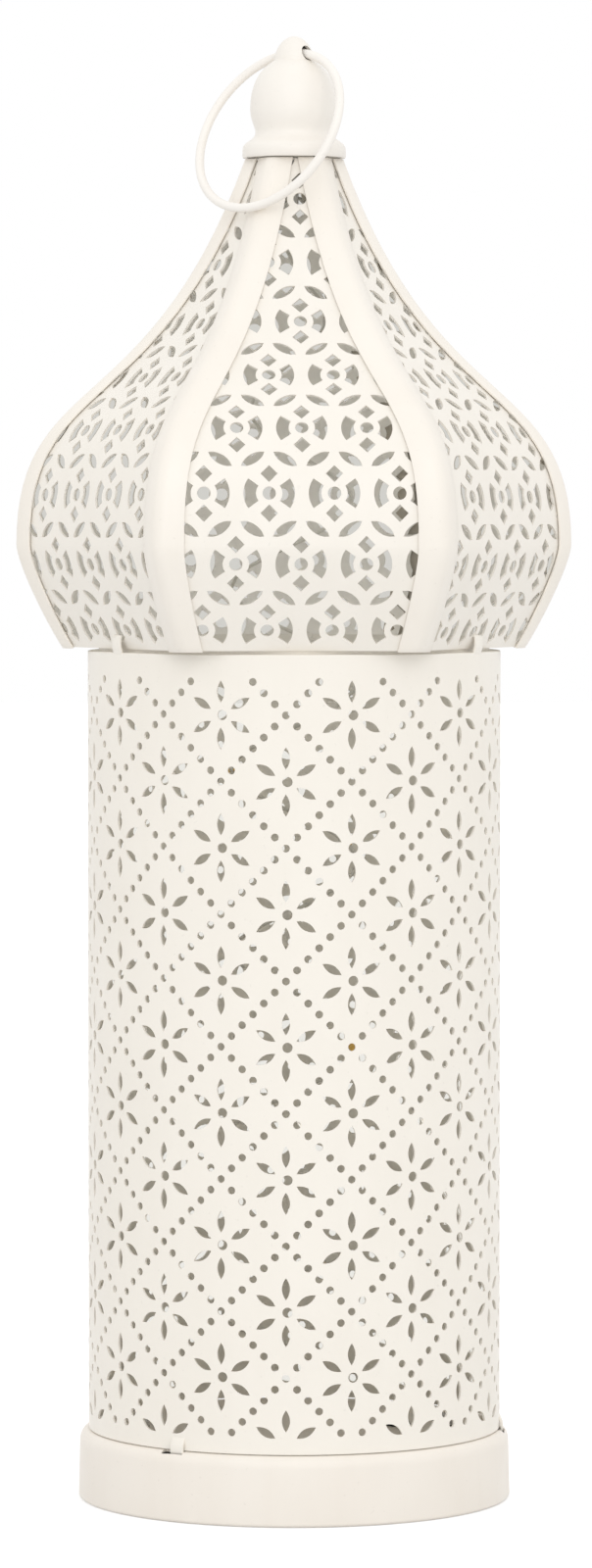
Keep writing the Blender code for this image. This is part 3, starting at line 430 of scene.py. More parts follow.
black_plastic = moulded_plastic("black_plastic", (0.035, 0.035, 0.04), roughness=0.40, grain=0.3)
slider = rounded_copy("switch_slider", "switch_knob", 0.12 * mm)
slider_low, slider_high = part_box("switch_slider")
knob_middle = (slider_low + slider_high) / 2
knob_ribs = 3
knob_pitch = 0.9 * mm
knob_half_width = 1.2 * mm
knob_proud = 0.25 * mm
knob_sunk = 0.3 * mm
knob_round = 0.08 * mm
bars = []
for i in range(knob_ribs):
    start = knob_middle.y + (i - knob_ribs / 2 + 0.25) * knob_pitch
    rib_low = (knob_middle.x - knob_half_width, start, slider_low.z - knob_proud)
    rib_high = (knob_middle.x + knob_half_width, start + knob_pitch / 2, slider_low.z + knob_sunk)
    bars.append(add_bar("knob_rib", rib_low, rib_high, knob_round))
join_into(slider, *bars)
soften(slider)
finish_piece(slider, black_plastic, "black_plastic", "slider", "switch_slider")
switch_tin = bare_metal("switch_tin", (0.66, 0.66, 0.64), roughness=0.30, brush=(1, 0.1, 1))
dress(switch_tin, "switch_body")

board_finish, board_shader, board_place = start_finish("board_mask")
tracks = board_place.node("ShaderNodeTexBrick", {"offset": 0.5}, {
    "Vector": board_place, "Scale": 260.0, "Mortar Size": 0.06, "Color1": (0, 0, 0, 1),
    "Color2": (0, 0, 0, 1), "Mortar": (1, 1, 1, 1)}, output="Fac")
mask_clouds = board_place.noise(90, 3.0)
(tracks * 0.75 + mask_clouds * 0.2).tint((0.035, 0.20, 0.085), (0.07, 0.33, 0.15)).feed(
    board_shader, "Base Color")
(mask_clouds * 0.15 + 0.30).feed(board_shader, "Roughness")
dress(board_finish, "circuit_board")


# Cells and contacts
# Three AAA cells in plain sleeves with bare steel ends, between coiled springs and pressed plates of
# nickelled steel.

cell_low, cell_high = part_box("cell_1")
cell_middle = (cell_low.x + cell_high.x) / 2
cell_half = (cell_high.x - cell_low.x) / 2
bare_width = 2.2 * mm
band_width = 9.2 * mm
print_edge = 0.2 * mm
sleeve, sleeve_shader, sleeve_place = start_finish("cell_sleeve")
along = sleeve_place.node("ShaderNodeSeparateXYZ", None, {"Vector": sleeve_place}, output="X")
offset = along - cell_middle
off_middle = offset.math("ABSOLUTE", offset, 0.0)
bare_end = off_middle.window(cell_half - bare_width, cell_half - bare_width + print_edge)
band = off_middle.window(cell_half - band_width, cell_half - band_width + print_edge)
scuffs = sleeve_place.noise(400, 4.0, 0.7).window(0.62, 0.72)
printed = band.tint((0.10, 0.14, 0.17), (0.045, 0.05, 0.055))
bare_end.tint((scuffs * 0.4).tint(printed, (0.25, 0.25, 0.25)), (0.62, 0.62, 0.60)).feed(
    sleeve_shader, "Base Color")
bare_end.feed(sleeve_shader, "Metallic")
(scuffs * 0.2 + 0.24).feed(sleeve_shader, "Roughness")
dress(sleeve, "cell_1", "cell_2", "cell_3")
contact_nickel = bare_metal("contact_nickel", (0.72, 0.70, 0.66), roughness=0.18, brush=(1, 1, 0.2))
dress(contact_nickel, *(f"contact_{kind}_{i + 1}" for kind in ("spring", "plate") for i in range(3)))


# Screws and nuts
# Zinc-plated steel: two screws with nuts that hold the tray under the deck, and two short ones in the cover.
# Each head has a cross recess.

screw_zinc = bare_metal("screw_zinc", (0.70, 0.71, 0.72), roughness=0.22, brush=(1, 1, 0.3))
recess_share = 0.28
recess_half_width = 0.35 * mm
recess_depth = 0.8 * mm
recess_round = 0.05 * mm
for node in ("box_screw_1", "box_screw_2", "cover_screw_1", "cover_screw_2"):
    screw = rounded_copy(node, f"cross_{node}", 0.12 * mm)
    low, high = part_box(node)
    head = Vector(((low.x + high.x) / 2, (low.y + high.y) / 2, low.z))
    reach = (high.x - low.x) * recess_share
    for along_x, along_y in ((reach, recess_half_width), (recess_half_width, reach)):
        half = Vector((along_x, along_y, recess_depth))
        cut_out(screw, add_bar("recess", head - half, head + half, recess_round))
    soften(screw)
    finish_piece(screw, screw_zinc, "screw_zinc", "lantern", node)
for node in ("box_nut_1", "box_nut_2"):
    nut = rounded_copy(node, f"hex_{node}", 0.15 * mm)
    soften(nut)
    finish_piece(nut, screw_zinc, "screw_zinc", "lantern", node)


# Grommet
# A black rubber bush that takes the lead through the deck.

black_rubber = moulded_plastic("black_rubber", (0.025, 0.025, 0.025), roughness=0.62, grain=0.5)
grommet = rounded_copy("lead_grommet", "rubber_bush", 0.2 * mm)
soften(grommet)
finish_piece(grommet, black_rubber, "black_rubber", "lantern", "lead_grommet")


# Body tube
# One sheet punched flat with rows of six-petalled flowers and a lattice of dots, then rolled into a tube
# and drawn in at its upper edge to a neck for the dome. It is sprayed outside and only dusted inside.

def flat_ring(centre_u, centre_v, radius, count):
    """Points of a round hole."""
    turns = [math.tau * i / count for i in range(count)]
    return [(centre_u + radius * math.cos(turn), centre_v + radius * math.sin(turn)) for turn in turns]


def flat_lens(centre_u, centre_v, length, width, angle, count, fullness=1.0):
    """Points of a hole with two bowed sides and two pointed ends, turned by an angle."""
    points = []
    for side in (1, -1):
        for i in range(count):
            share = side * (1 - 2 * i / count)
            along = share * length / 2
            across = side * (1 - share * share)**fullness * width / 2
            points.append((centre_u + along * math.cos(angle) - across * math.sin(angle),
                           centre_v + along * math.sin(angle) + across * math.cos(angle)))
    return points


def crease(piece, axis, places):
    """Cuts lines across a flat sheet where it will bend."""
    edit_all(piece)
    for place in places:
        bpy.ops.mesh.select_all(action="SELECT")
        bpy.ops.mesh.bisect(plane_co=axis * place, plane_no=axis)
        bpy.ops.mesh.mark_seam()
    bpy.ops.object.mode_set(mode="OBJECT")


def bend(piece, place):
    """Moves every point of a flat sheet to its place on the bent one."""
    for vertex in piece.data.vertices:
        vertex.co = place(vertex.co.x, vertex.co.y)
    piece.data.update()


def true_normals(piece, outward):
    """Shades the two skins of a sheet by the surface they follow, and its cut edges flat."""
    mesh = piece.data
    skin_facing = 0.9
    normals = []
    for polygon in mesh.polygons:
        for index in polygon.loop_indices:
            skin = outward(mesh.vertices[mesh.loops[index].vertex_index].co)
            facing = polygon.normal.dot(skin)
            if abs(facing) > skin_facing:
                normals.append(skin if facing > 0 else -skin)
            else:
                normals.append(polygon.normal.copy())
    mesh.shade_smooth()
    mesh.normals_split_custom_set(normals)


tube_foot = deck_height + gap
dome_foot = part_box("dome_rib_1")[0].z
columns = 10
column_pitch = math.tau * tube_radius / columns
steps_across = 12
dot_step = column_pitch / steps_across
row_pitch = 17.39 * mm
dot_rise = row_pitch / 6
row_count = 12
last_row = tube_foot + 2.7 * mm
first_row = last_row + (row_count - 1) * row_pitch
tube_turn = math.radians(-3.9)
dot_radius = 1.05 * mm
dot_points = 12
petal_angles = [math.radians(30 + 60 * petal) for petal in range(6)]
petal_points = 7
petal_length = 5.85 * mm
petal_width = 2.15 * mm
petal_reach = 6.15 * mm
eye_radius = 1.35 * mm
eye_shift = 0.4 * mm
eye_points = 16

neck_radius = 52.6 * mm
neck_top = dome_foot + 2.8 * mm
step_low = dome_foot - 0.75 * mm
step_high = dome_foot - 0.15 * mm
step = step_high - step_low
neck_steps = 8
neck_line = [Vector((tube_radius, tube_foot)), Vector((tube_radius, step_low - step))]
neck_line += [point for point, along in cubic(
    (tube_radius, step_low), (tube_radius, step_low + step), (neck_radius, step_high - step),
    (neck_radius, step_high), neck_steps)]
neck_line += [Vector((neck_radius, step_high)), Vector((neck_radius, neck_top))]
neck_arc = [0.0]
for near, far in zip(neck_line, neck_line[1:]):
    neck_arc.append(neck_arc[-1] + (far - near).length)
sheet_top = neck_arc[-1]


def on_tube(u, v):
    """The place on the rolled tube of a point of the flat sheet."""
    index = 0
    while index < len(neck_arc) - 2 and v > neck_arc[index + 1]:
        index += 1
    share = (v - neck_arc[index]) / (neck_arc[index + 1] - neck_arc[index])
    radius, height = neck_line[index].lerp(neck_line[index + 1], share)
    angle = u / tube_radius + tube_turn
    return Vector((radius * math.sin(angle), -radius * math.cos(angle), height))


left_step = -9
right_step = left_step + steps_across
lowest_step = -65
highest_step = 3
tile_left = left_step * dot_step
tile_right = right_step * dot_step
edge_dots = [first_row + row_pitch / 2 - row_pitch * i - tube_foot for i in range(row_count)]
half_turn = [math.tau * i / dot_points for i in range(dot_points // 2 + 1)]
tile_outline = [(tile_left, 0), (tile_right, 0)]
for dot in reversed(edge_dots):
    tile_outline += [(tile_right - dot_radius * math.sin(angle), dot - dot_radius * math.cos(angle))
                     for angle in half_turn]
tile_outline += [(tile_right, sheet_top), (tile_left, sheet_top)]
for dot in edge_dots:
    tile_outline += [(tile_left + dot_radius * math.sin(angle), dot + dot_radius * math.cos(angle))
                     for angle in half_turn]

tile_holes = []
for row in range(row_count):
    height = first_row - row * row_pitch - tube_foot
    centre = 0 if row % 2 else -steps_across / 2 * dot_step
    whole_flower = row < row_count - 1
    for angle in petal_angles:
        if whole_flower or math.sin(angle) > 0:
            tile_holes.append(flat_lens(centre + petal_reach * math.cos(angle),
                                        height + petal_reach * math.sin(angle),
                                        petal_length, petal_width, angle, petal_points))
    if whole_flower:
        tile_holes.append(flat_ring(centre + eye_shift, height, eye_radius, eye_points))
for step_v in range(lowest_step, highest_step + 1):
    for step_u in range(left_step + 1, right_step):
        if (step_u - step_v) % steps_across == 0 or (step_u + step_v) % steps_across == 0:
            tile_holes.append(flat_ring(step_u * dot_step, first_row + step_v * dot_rise - tube_foot,
                                        dot_radius, dot_points))

along_u = Vector((1, 0, 0))
along_v = Vector((0, 1, 0))
tile_weld = 0.01 * mm
body_tube = drawn_piece("lantern_body", [tile_outline] + tile_holes, filled=True)
crease(body_tube, along_u, [tile_left + dot_step * i for i in range(1, steps_across)])
crease(body_tube, along_v, neck_arc[1:-1])
apply_modifier(body_tube, "slivers", "DECIMATE", decimate_type="DISSOLVE", angle_limit=math.radians(0.5),
               delimit={"SEAM"})
apply_modifier(body_tube, "columns", "ARRAY", count=columns, use_relative_offset=False,
               use_constant_offset=True, constant_offset_displace=(column_pitch, 0, 0),
               use_merge_vertices=True, merge_threshold=tile_weld)
bend(body_tube, on_tube)
edit_all(body_tube)
bpy.ops.mesh.remove_doubles(threshold=tile_weld)
bpy.ops.object.mode_set(mode="OBJECT")


def inside_coat(name, colour, dark):
    """The thin overspray on the inner side of the sheets, in the colours given; for the sheets these are
    painted lighter than their outer paint, as painted light for what the holes let in.
    """
    material, shader, place = start_finish(name)
    clouds = place.noise(60, 5.0, 0.6)
    clouds.window(0.3, 0.7).tint(colour, dark).feed(shader, "Base Color")
    (clouds * 0.2 + 0.5).feed(shader, "Roughness")
    return material


body_paint = sprayed_paint("body_paint", (0.89, 0.846, 0.770), (0.865, 0.82, 0.742),
                           roughness=(0.40, 0.52), peel=0.28)
# The inside coat is painted lighter than the body's outer paint: painted light for what the holes let in.
body_inside_painted_light = inside_coat("body_inside_painted_light", (0.93, 0.90, 0.83), (0.90, 0.87, 0.79))
body_tube.data.materials.append(body_paint)
body_tube.data.materials.append(body_inside_painted_light)
apply_modifier(body_tube, "sheet", "SOLIDIFY", thickness=sheet, offset=-1, material_offset=1)
true_normals(body_tube, lambda co: Vector((co.x, co.y, 0)).normalized())
finish_piece(body_tube, None, "body_paint", "lantern", "body_shell")

wall_middle = tube_radius - sheet / 2
tab_lean = 0.4 * mm
tab_bulge = 0.96 * mm
tab_reach = 3.4 * mm
under_deck = deck_height - gap - 2.5 * sheet
foot_tab_route = [(wall_middle, tube_foot + 3.2 * mm), (wall_middle + tab_lean, tube_foot + 2.4 * mm),
                  (wall_middle + tab_bulge, tube_foot + 1.0 * mm),
                  (wall_middle + tab_bulge, deck_height - 0.5 * mm),
                  (wall_middle + tab_lean, deck_height - sheet - gap),
                  (wall_middle - sheet, under_deck), (wall_middle - tab_reach, under_deck)]


def bent_tab(name, route, width, turn, aside=0.0):
    """A tab of the body's sheet, bent along (distance, height) points, moved aside and set at a turn."""
    bend_round = 0.4 * mm
    cut_round = 0.12 * mm
    tab = drawn_piece(name, [[(aside - width / 2, -distance, height) for distance, height in route]])
    edit_all(tab)
    bpy.ops.mesh.extrude_region_move(TRANSFORM_OT_translate={"value": (width, 0, 0)})
    bpy.ops.object.mode_set(mode="OBJECT")
    apply_modifier(tab, "bends", "BEVEL", width=bend_round, segments=3, limit_method="ANGLE",
                   angle_limit=math.radians(15))
    apply_modifier(tab, "sheet", "SOLIDIFY", thickness=sheet, offset=0, use_even_offset=True)
    apply_modifier(tab, "edges", "BEVEL", width=cut_round, segments=2, limit_method="ANGLE",
                   angle_limit=math.radians(60))
    edit_all(tab)
    bpy.ops.mesh.normals_make_consistent(inside=False)
    bpy.ops.object.mode_set(mode="OBJECT")
    turn_about_axis(tab, turn)
    soften(tab, 50)
    return tab


for i in range(foot_tabs):
    foot_tab = bent_tab(f"foot_tab_{i + 1}", foot_tab_route, foot_tab_width,
                        foot_tab_azimuth + math.tau * i / foot_tabs)
    finish_piece(foot_tab, body_paint, "body_paint", "lantern", "body_shell")


# Dome panels
# Six sheets punched flat with a staggered net of rosettes, bent one way to the onion profile and tacked
# side by side on the ribs. Sprayed like the body, whose three upper tabs bend in over their feet.

dome_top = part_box("dome_rib_1")[1].z
sides = 6
half_side = math.pi / sides
flat = math.cos(half_side)
belly_height = 28.0 * mm
belly_corner = 75.0 * mm
crown_corner = 13.5 * mm
foot_inset = 1.35 * mm
foot_slope = 0.55
foot_pull = 0.30
belly_pull_down = 0.16
belly_pull_up = 0.456
crown_slope = 0.36
crown_pull = 0.688
joint_width = 0.8 * mm


def dome_line(inset):
    """(point, direction) along the middle of a dome side, a given way inside the ribs' outer face."""
    foot = tube_radius - foot_inset
    belly = belly_corner * flat
    crown = crown_corner * flat
    slope = crown_slope * flat
    belly_top = dome_foot + belly_height
    high = dome_top - belly_top
    foot_reach = belly_height * foot_pull
    crown_reach = high * crown_pull
    samples = cubic((foot, dome_foot), (foot + foot_slope * foot_reach, dome_foot + foot_reach),
                    (belly, belly_top - belly_height * belly_pull_down), (belly, belly_top), 14)
    samples += cubic((belly, belly_top), (belly, belly_top + high * belly_pull_up),
                     (crown + slope * crown_reach, dome_top - crown_reach), (crown, dome_top), 30)
    samples += [(Vector((crown, dome_top)), Vector((-slope, 1)).normalized())]
    return [(point + Vector((-along.y, along.x)) * inset, along) for point, along in samples]


panel_line = dome_line(sheet + gap)
panel_arc = [0.0]
for near, far in zip(panel_line, panel_line[1:]):
    panel_arc.append(panel_arc[-1] + (far[0] - near[0]).length)
panel_length = panel_arc[-1]


def panel_station(v):
    """(distance, height, direction) of the panel's face at an arc length from its lower edge."""
    index = 0
    while index < len(panel_arc) - 2 and v > panel_arc[index + 1]:
        index += 1
    share = (v - panel_arc[index]) / (panel_arc[index + 1] - panel_arc[index])
    point = panel_line[index][0].lerp(panel_line[index + 1][0], share)
    along = panel_line[index][1].lerp(panel_line[index + 1][1], share).normalized()
    return point.x, point.y, along


def panel_half_width(v):
    """Half of the panel's width at an arc length, a joint's width inside the fold of the ribs."""
    return panel_station(v)[0] * math.tan(half_side) - joint_width / flat


def squared(u, v):
    """A point of the flat panel on a sheet with straight edges, as wide all along as the panel's belly."""
    return u / panel_half_width(v) * sheet_half_width, v


def on_panel(across, v):
    """The place on the bent front panel of a point of the squared sheet."""
    out, height, along = panel_station(v)
    return Vector((across / sheet_half_width * panel_half_width(v), -out, height))


sheet_half_width = 36 * mm
rosette_pitch = 16.95 * mm
rosette_rise = 18.65 * mm
rosette_eye = 1.75 * mm
rosette_points = 18
fan_inner = 3.45 * mm
fan_outer = 6.70 * mm
fan_angle = math.radians(36)
diamond_width = 4.5 * mm
diamond_height = 4.6 * mm
diamond_reach = 5.25 * mm
leaf_length = 7.3 * mm
leaf_width = 2.65 * mm
leaf_angle = math.radians(33)
leaf_fullness = 0.8
leaf_points = 7
spare_places = range(-5, 6)


def flat_fan(centre_u, centre_v, side):
    """Points of the sector of a ring that opens to one side of a rosette."""
    sweep = [fan_angle * (i / 4 - 1) for i in range(9)]
    outer = [(centre_u + side * fan_outer * math.cos(angle), centre_v + fan_outer * math.sin(angle))
             for angle in sweep]
    inner = [(centre_u + side * fan_inner * math.cos(angle), centre_v + fan_inner * math.sin(angle))
             for angle in reversed(sweep[::2])]
    return outer + inner


def flat_diamond(centre_u, centre_v):
    """Points of a diamond hole."""
    return [(centre_u + diamond_width / 2, centre_v), (centre_u, centre_v + diamond_height / 2),
            (centre_u - diamond_width / 2, centre_v), (centre_u, centre_v - diamond_height / 2)]


def meets_panel(hole):
    """Whether any of a hole falls on the panel; the ribs hide where its edges cut one."""
    return any(v < panel_length and abs(across) < sheet_half_width for across, v in hole)


def rosette_net(first_u, first_v, skew):
    """Holes of a panel whose lowest row has a rosette at a place; the net leans by a skew."""
    holes = []
    for row in range(int(panel_length / rosette_rise) + 2):
        centre_v = first_v + row * rosette_rise
        for place in spare_places:
            centre_u = first_u + (place + (0.5 if row % 2 else 0)) * rosette_pitch + skew * centre_v
            found = [flat_ring(centre_u, centre_v, rosette_eye, rosette_points),
                     flat_fan(centre_u, centre_v, -1), flat_fan(centre_u, centre_v, 1),
                     flat_diamond(centre_u, centre_v + diamond_reach)]
            if row > 0:
                found.append(flat_diamond(centre_u, centre_v - diamond_reach))
            for side in (-1, 1):
                found.append(flat_lens(centre_u + side * rosette_pitch / 4, centre_v + rosette_rise / 2,
                                       leaf_length, leaf_width, -side * leaf_angle, leaf_points,
                                       leaf_fullness))
            squares = [[squared(*point) for point in loop] for loop in found]
            holes += [hole for hole in squares if meets_panel(hole)]
    return holes


panel_paint = sprayed_paint("panel_paint", (0.885, 0.841, 0.77), (0.86, 0.816, 0.741),
                            roughness=(0.40, 0.52), peel=0.28)
# The panels' inside coat is painted lighter than their outer paint: painted light for what the holes let in.
dome_inside_painted_light = inside_coat("dome_inside_painted_light", (0.97, 0.95, 0.90), (0.95, 0.93, 0.87))


def panel_outward(co):
    """The direction out of the front panel at a place on it."""
    index = 0
    while index < len(panel_line) - 2 and co.z > panel_line[index + 1][0].y:
        index += 1
    near, far = panel_line[index], panel_line[index + 1]
    share = min(max((co.z - near[0].y) / (far[0].y - near[0].y), 0), 1)
    along = near[1].lerp(far[1], share).normalized()
    return Vector((0, -along.y, -along.x))


def trim(piece, limit):
    """Cuts off what lies beyond a line across a flat sheet, given by its nearest point to the origin."""
    edit_all(piece)
    bpy.ops.mesh.bisect(plane_co=limit, plane_no=limit.normalized(), clear_outer=True)
    bpy.ops.object.mode_set(mode="OBJECT")


def bent_panel(name, holes):
    """A front panel: punched from a wider blank, trimmed, bent and given its thickness."""
    spare = 1 * mm
    half_width = max(abs(across) for hole in holes for across, v in hole) + spare
    top = max(v for hole in holes for across, v in hole) + spare
    blank = [(-half_width, 0), (half_width, 0), (half_width, top), (-half_width, top)]
    panel = drawn_piece(name, [blank] + holes, filled=True)
    for limit in (along_u * sheet_half_width, -along_u * sheet_half_width, along_v * panel_length):
        trim(panel, limit)
    crease(panel, along_v, panel_arc[1:-1])
    bend(panel, on_panel)
    panel.data.materials.append(panel_paint)
    panel.data.materials.append(dome_inside_painted_light)
    apply_modifier(panel, "sheet", "SOLIDIFY", thickness=sheet, offset=-1, material_offset=1)
    true_normals(panel, panel_outward)
    return panel


hook_width = 4.2 * mm
hook_proud = 0.5 * mm
hook_reach = 4.0 * mm
hook_face, hook_top = panel_station(hook_reach)[:2]
hook_route = [(wall_middle + 0.03 * mm, step_low - 0.1 * mm), (wall_middle + 0.1 * mm, step_high),
              (wall_middle + hook_proud, dome_foot + 1.0 * mm),
              (wall_middle + hook_proud, hook_top - 0.6 * mm), (hook_face + 0.05 * mm, hook_top)]
# The panels that have a tab, and how far it stands to one side.
hook_places = {1: -0.4 * mm, 3: 1.5 * mm, 5: 0.9 * mm}
for i, place in hook_places.items():
    hook_tab = bent_tab(f"hook_tab_{(i + 1) // 2}", hook_route, hook_width, math.tau * i / sides, place)
    finish_piece(hook_tab, body_paint, "body_paint", "lantern", "body_shell")

# Where the net's lowest row has a rosette on each panel, across and up, and how far the net leans.
punchings = [(8.2 * mm, 6.05 * mm, 0.01), (-3.6 * mm, 5.1 * mm, 0.05), (7.0 * mm, 6.05 * mm, 0.0),
             (1.5 * mm, 6.05 * mm, 0.0), (7.7 * mm, 6.05 * mm, 0.0), (6.6 * mm, 5.7 * mm, 0.06)]
for i, punching in enumerate(punchings):
    panel = bent_panel(f"dome_sheet_{i + 1}", rosette_net(*punching))
    turn_about_axis(panel, math.tau * i / sides)
    finish_piece(panel, None, "panel_paint", "lantern", f"dome_panel_{i + 1}")


# Dome ribs
# Six strips folded lengthwise over the joints between the panels and tacked to them from inside.
# The fold is soft, because the strip was rolled over a bar.

rib_line = dome_line(0)
foot_flange = 7.4 * mm
crown_flange = 6.1 * mm
foot_narrowing = 1.5 * mm
fold_round = 2.2 * mm
fold_proud = 0.45 * mm
edge_round = 0.15 * mm
rib_paint = sprayed_paint("rib_paint", (0.895, 0.845, 0.77), (0.87, 0.818, 0.74),
                          roughness=(0.38, 0.50), peel=0.25)
bpy.ops.mesh.primitive_grid_add(x_subdivisions=2, y_subdivisions=len(rib_line) - 1, size=2)
rib_sheet = bpy.context.object
rib_sheet.name = "rib_strip"


def on_rib(across, along):
    """The place on a rib, folded over the front corner, of a point of a square sheet."""
    place = (along + 1) / 2 * (len(rib_line) - 1)
    point = rib_line[round(place)][0]
    flange = foot_flange + (crown_flange - foot_flange) * (point.y - dome_foot) / (dome_top - dome_foot)
    flange -= foot_narrowing * max(0, 1 - (point.y - dome_foot) / belly_height)
    corner = point.x / flat + fold_proud * (1 - abs(across))
    side = Vector((math.cos(half_side), math.sin(half_side), 0))
    reach = Vector((abs(across) * side.x * flange, -corner + abs(across) * side.y * flange, point.y))
    return Vector((math.copysign(reach.x, across) if across else 0, reach.y, reach.z))


bend(rib_sheet, on_rib)
edit_all(rib_sheet)
bpy.ops.mesh.normals_make_consistent(inside=False)
bpy.ops.object.mode_set(mode="OBJECT")
apply_modifier(rib_sheet, "fold", "BEVEL", width=fold_round, segments=5, limit_method="ANGLE",
               angle_limit=math.radians(30))
apply_modifier(rib_sheet, "sheet", "SOLIDIFY", thickness=sheet, offset=-1, use_even_offset=True)
apply_modifier(rib_sheet, "edges", "BEVEL", width=edge_round, segments=2, limit_method="ANGLE",
               angle_limit=math.radians(60))
soften(rib_sheet)
for i in range(sides):
    rib = rib_sheet.copy()
    rib.data = rib_sheet.data.copy()
    rib.name = f"dome_strip_{i + 1}"
    bpy.context.scene.collection.objects.link(rib)
    turn_about_axis(rib, half_side + math.tau * i / sides)
    finish_piece(rib, rib_paint, "rib_paint", "lantern", f"dome_rib_{i + 1}")
bpy.data.objects.remove(rib_sheet)


# Crown disc, hook, lead and lights
# A steel disc closes the dome and holds a threaded wire hook with a nut and a washer. The lead winds up to
# it in a clear sleeve; its lights are drops of amber resin on pale carriers, all but one turned to the back.

crown_steel = inside_coat("crown_steel", (0.80, 0.76, 0.70), (0.62, 0.59, 0.54))
crown = rounded_copy("crown_disc", "crown_plate", 0.15 * mm)
soften(crown)
finish_piece(crown, crown_steel, "crown_steel", "lantern", "crown_disc")
hook_steel = bare_metal("hook_steel", (0.60, 0.60, 0.60), roughness=0.26, brush=(1, 1, 0.15))
dress(hook_steel, "light_hook")
dress(screw_zinc, "hook_nut", "hook_washer")
sleeve_finish, lead_shader, lead_place = start_finish("clear_lead")
twist = lead_place.noise(800, 2.0)
twist.tint((0.80, 0.78, 0.71), (0.64, 0.62, 0.56)).feed(lead_shader, "Base Color")
(twist * 0.2 + 0.22).feed(lead_shader, "Roughness")
dress(sleeve_finish, "light_lead")

carrier = moulded_plastic("pale_carrier", (0.88, 0.85, 0.78), roughness=0.40, grain=0.2)
amber, amber_shader, amber_place = start_finish("amber_resin")
phosphor = amber_place.noise(1500, 2.0)
phosphor.tint((0.92, 0.60, 0.16), (0.84, 0.50, 0.10)).feed(amber_shader, "Base Color")
(phosphor * 0.15 + 0.16).feed(amber_shader, "Roughness")
amber_shader.inputs["Coat Weight"].default_value = 0.5

bead_length = 5.0 * mm
bead_width = 4.0 * mm
carrier_share = 0.45
coil_rise = 7.8 * mm
light_count = 10
front_light = 4
for i in range(1, light_count + 1):
    node = f"light_bead_{i}"
    low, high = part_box(node)
    centre = (low + high) / 2
    along = Vector((-centre.y, centre.x, coil_rise)).normalized()
    facing = Vector((0, -1 if i == front_light else 1, 0))
    facing = (facing - along * facing.dot(along)).normalized()
    bpy.ops.mesh.primitive_uv_sphere_add(segments=20, ring_count=12, radius=bead_width / 2)
    bead = bpy.context.object
    bead.name = f"resin_light_{i}"
    edit_all(bead)
    bpy.ops.transform.resize(value=(1, 1, bead_length / bead_width))
    bpy.ops.object.mode_set(mode="OBJECT")
    bead.data.materials.append(amber)
    bead.data.materials.append(carrier)
    for polygon in bead.data.polygons:
        polygon.material_index = int(polygon.center.y < 0)
    for vertex in bead.data.vertices:
        if vertex.co.y < 0:
            vertex.co.y *= carrier_share
    soften(bead, 50)
    turned = Matrix((facing.cross(along), facing, along)).transposed().to_4x4()
    bead.matrix_world = Matrix.Translation(centre) @ turned
    pick(bead)
    bpy.ops.object.transform_apply(location=True, rotation=True, scale=True)
    finish_piece(bead, None, "amber_bead", "lantern", node)


# Finial
# A hollow cap spun from thin steel sheet in two lifts, crimped over the crown disc and bored through
# its nose for the ring. Sprayed with the rest.

finial_low, finial_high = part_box("finial")
finial_bottom = finial_low.z
collar_radius = finial_high.x
finial_height = finial_high.z - finial_low.z
down = Vector((0, -1))
tip = Vector((0, finial_height))
nose = Vector((5.3, 26.2)) * mm
bulb = Vector((11.8, 13.0)) * mm
waist = Vector((10.4, 6.9)) * mm
collar = Vector((collar_radius, 2.2 * mm))
flank = nose.y - bulb.y
dip = bulb.y - waist.y
cove = waist.y - collar.y
tip_pull = Vector((0.55 * nose.x, 0))
nose_pull = 0.45 * (tip.y - nose.y)
shoulder_pull = Vector((0.25, -0.15)) * flank
bulb_pull = 0.57 * flank
outline = cubic(tip, tip + tip_pull, nose - down * nose_pull, nose, 12)
outline += cubic(nose, nose + shoulder_pull, bulb - down * bulb_pull, bulb, 14)
outline += cubic(bulb, bulb + down * dip / 2, waist - down * dip / 4, waist, 8)
outline += cubic(waist, waist + down * cove / 2, collar - down * cove / 2, collar, 9)
finial_profile = [(point.x, finial_bottom + point.y) for point, along in outline]
rim_round = 0.2 * mm
finial_profile += [(collar_radius, finial_bottom + 2.0 * mm), (collar_radius, finial_bottom + 0.25 * mm),
                   (collar_radius - rim_round, finial_bottom)]
finial_steps = 96
finial_wall = 0.9 * mm
finial = spun("lantern_finial", finial_profile, finial_steps)
apply_modifier(finial, "wall", "SOLIDIFY", thickness=finial_wall, offset=-1, use_even_offset=True)
ring_pivot = Vector(frame["joints"][0]["pos_m"])
ring_axis = Vector(frame["joints"][0]["axis"])
bore_radius = 2.0 * mm
bore_depth = 24 * mm
bore_lift = Vector((0, 0, 0.35 * mm))
bore_turn = ring_axis.to_track_quat("Z", "Y").to_matrix().to_4x4()
bpy.ops.mesh.primitive_cylinder_add(vertices=40, radius=bore_radius, depth=bore_depth)
bore = bpy.context.object
bore.matrix_world = Matrix.Translation(ring_pivot + bore_lift) @ bore_turn
cut_out(finial, bore)
soften(finial, 40)
finial_paint = sprayed_paint("finial_paint", (0.892, 0.853, 0.79), (0.868, 0.824, 0.761),
                             roughness=(0.36, 0.48), peel=0.22)
finish_piece(finial, finial_paint, "finial_paint", "lantern", "finial")


# Hanging ring
# Round steel wire bent into a ring, passed through the bore of the finial and butted shut.
# It leans on the dome, and is sprayed with the rest.

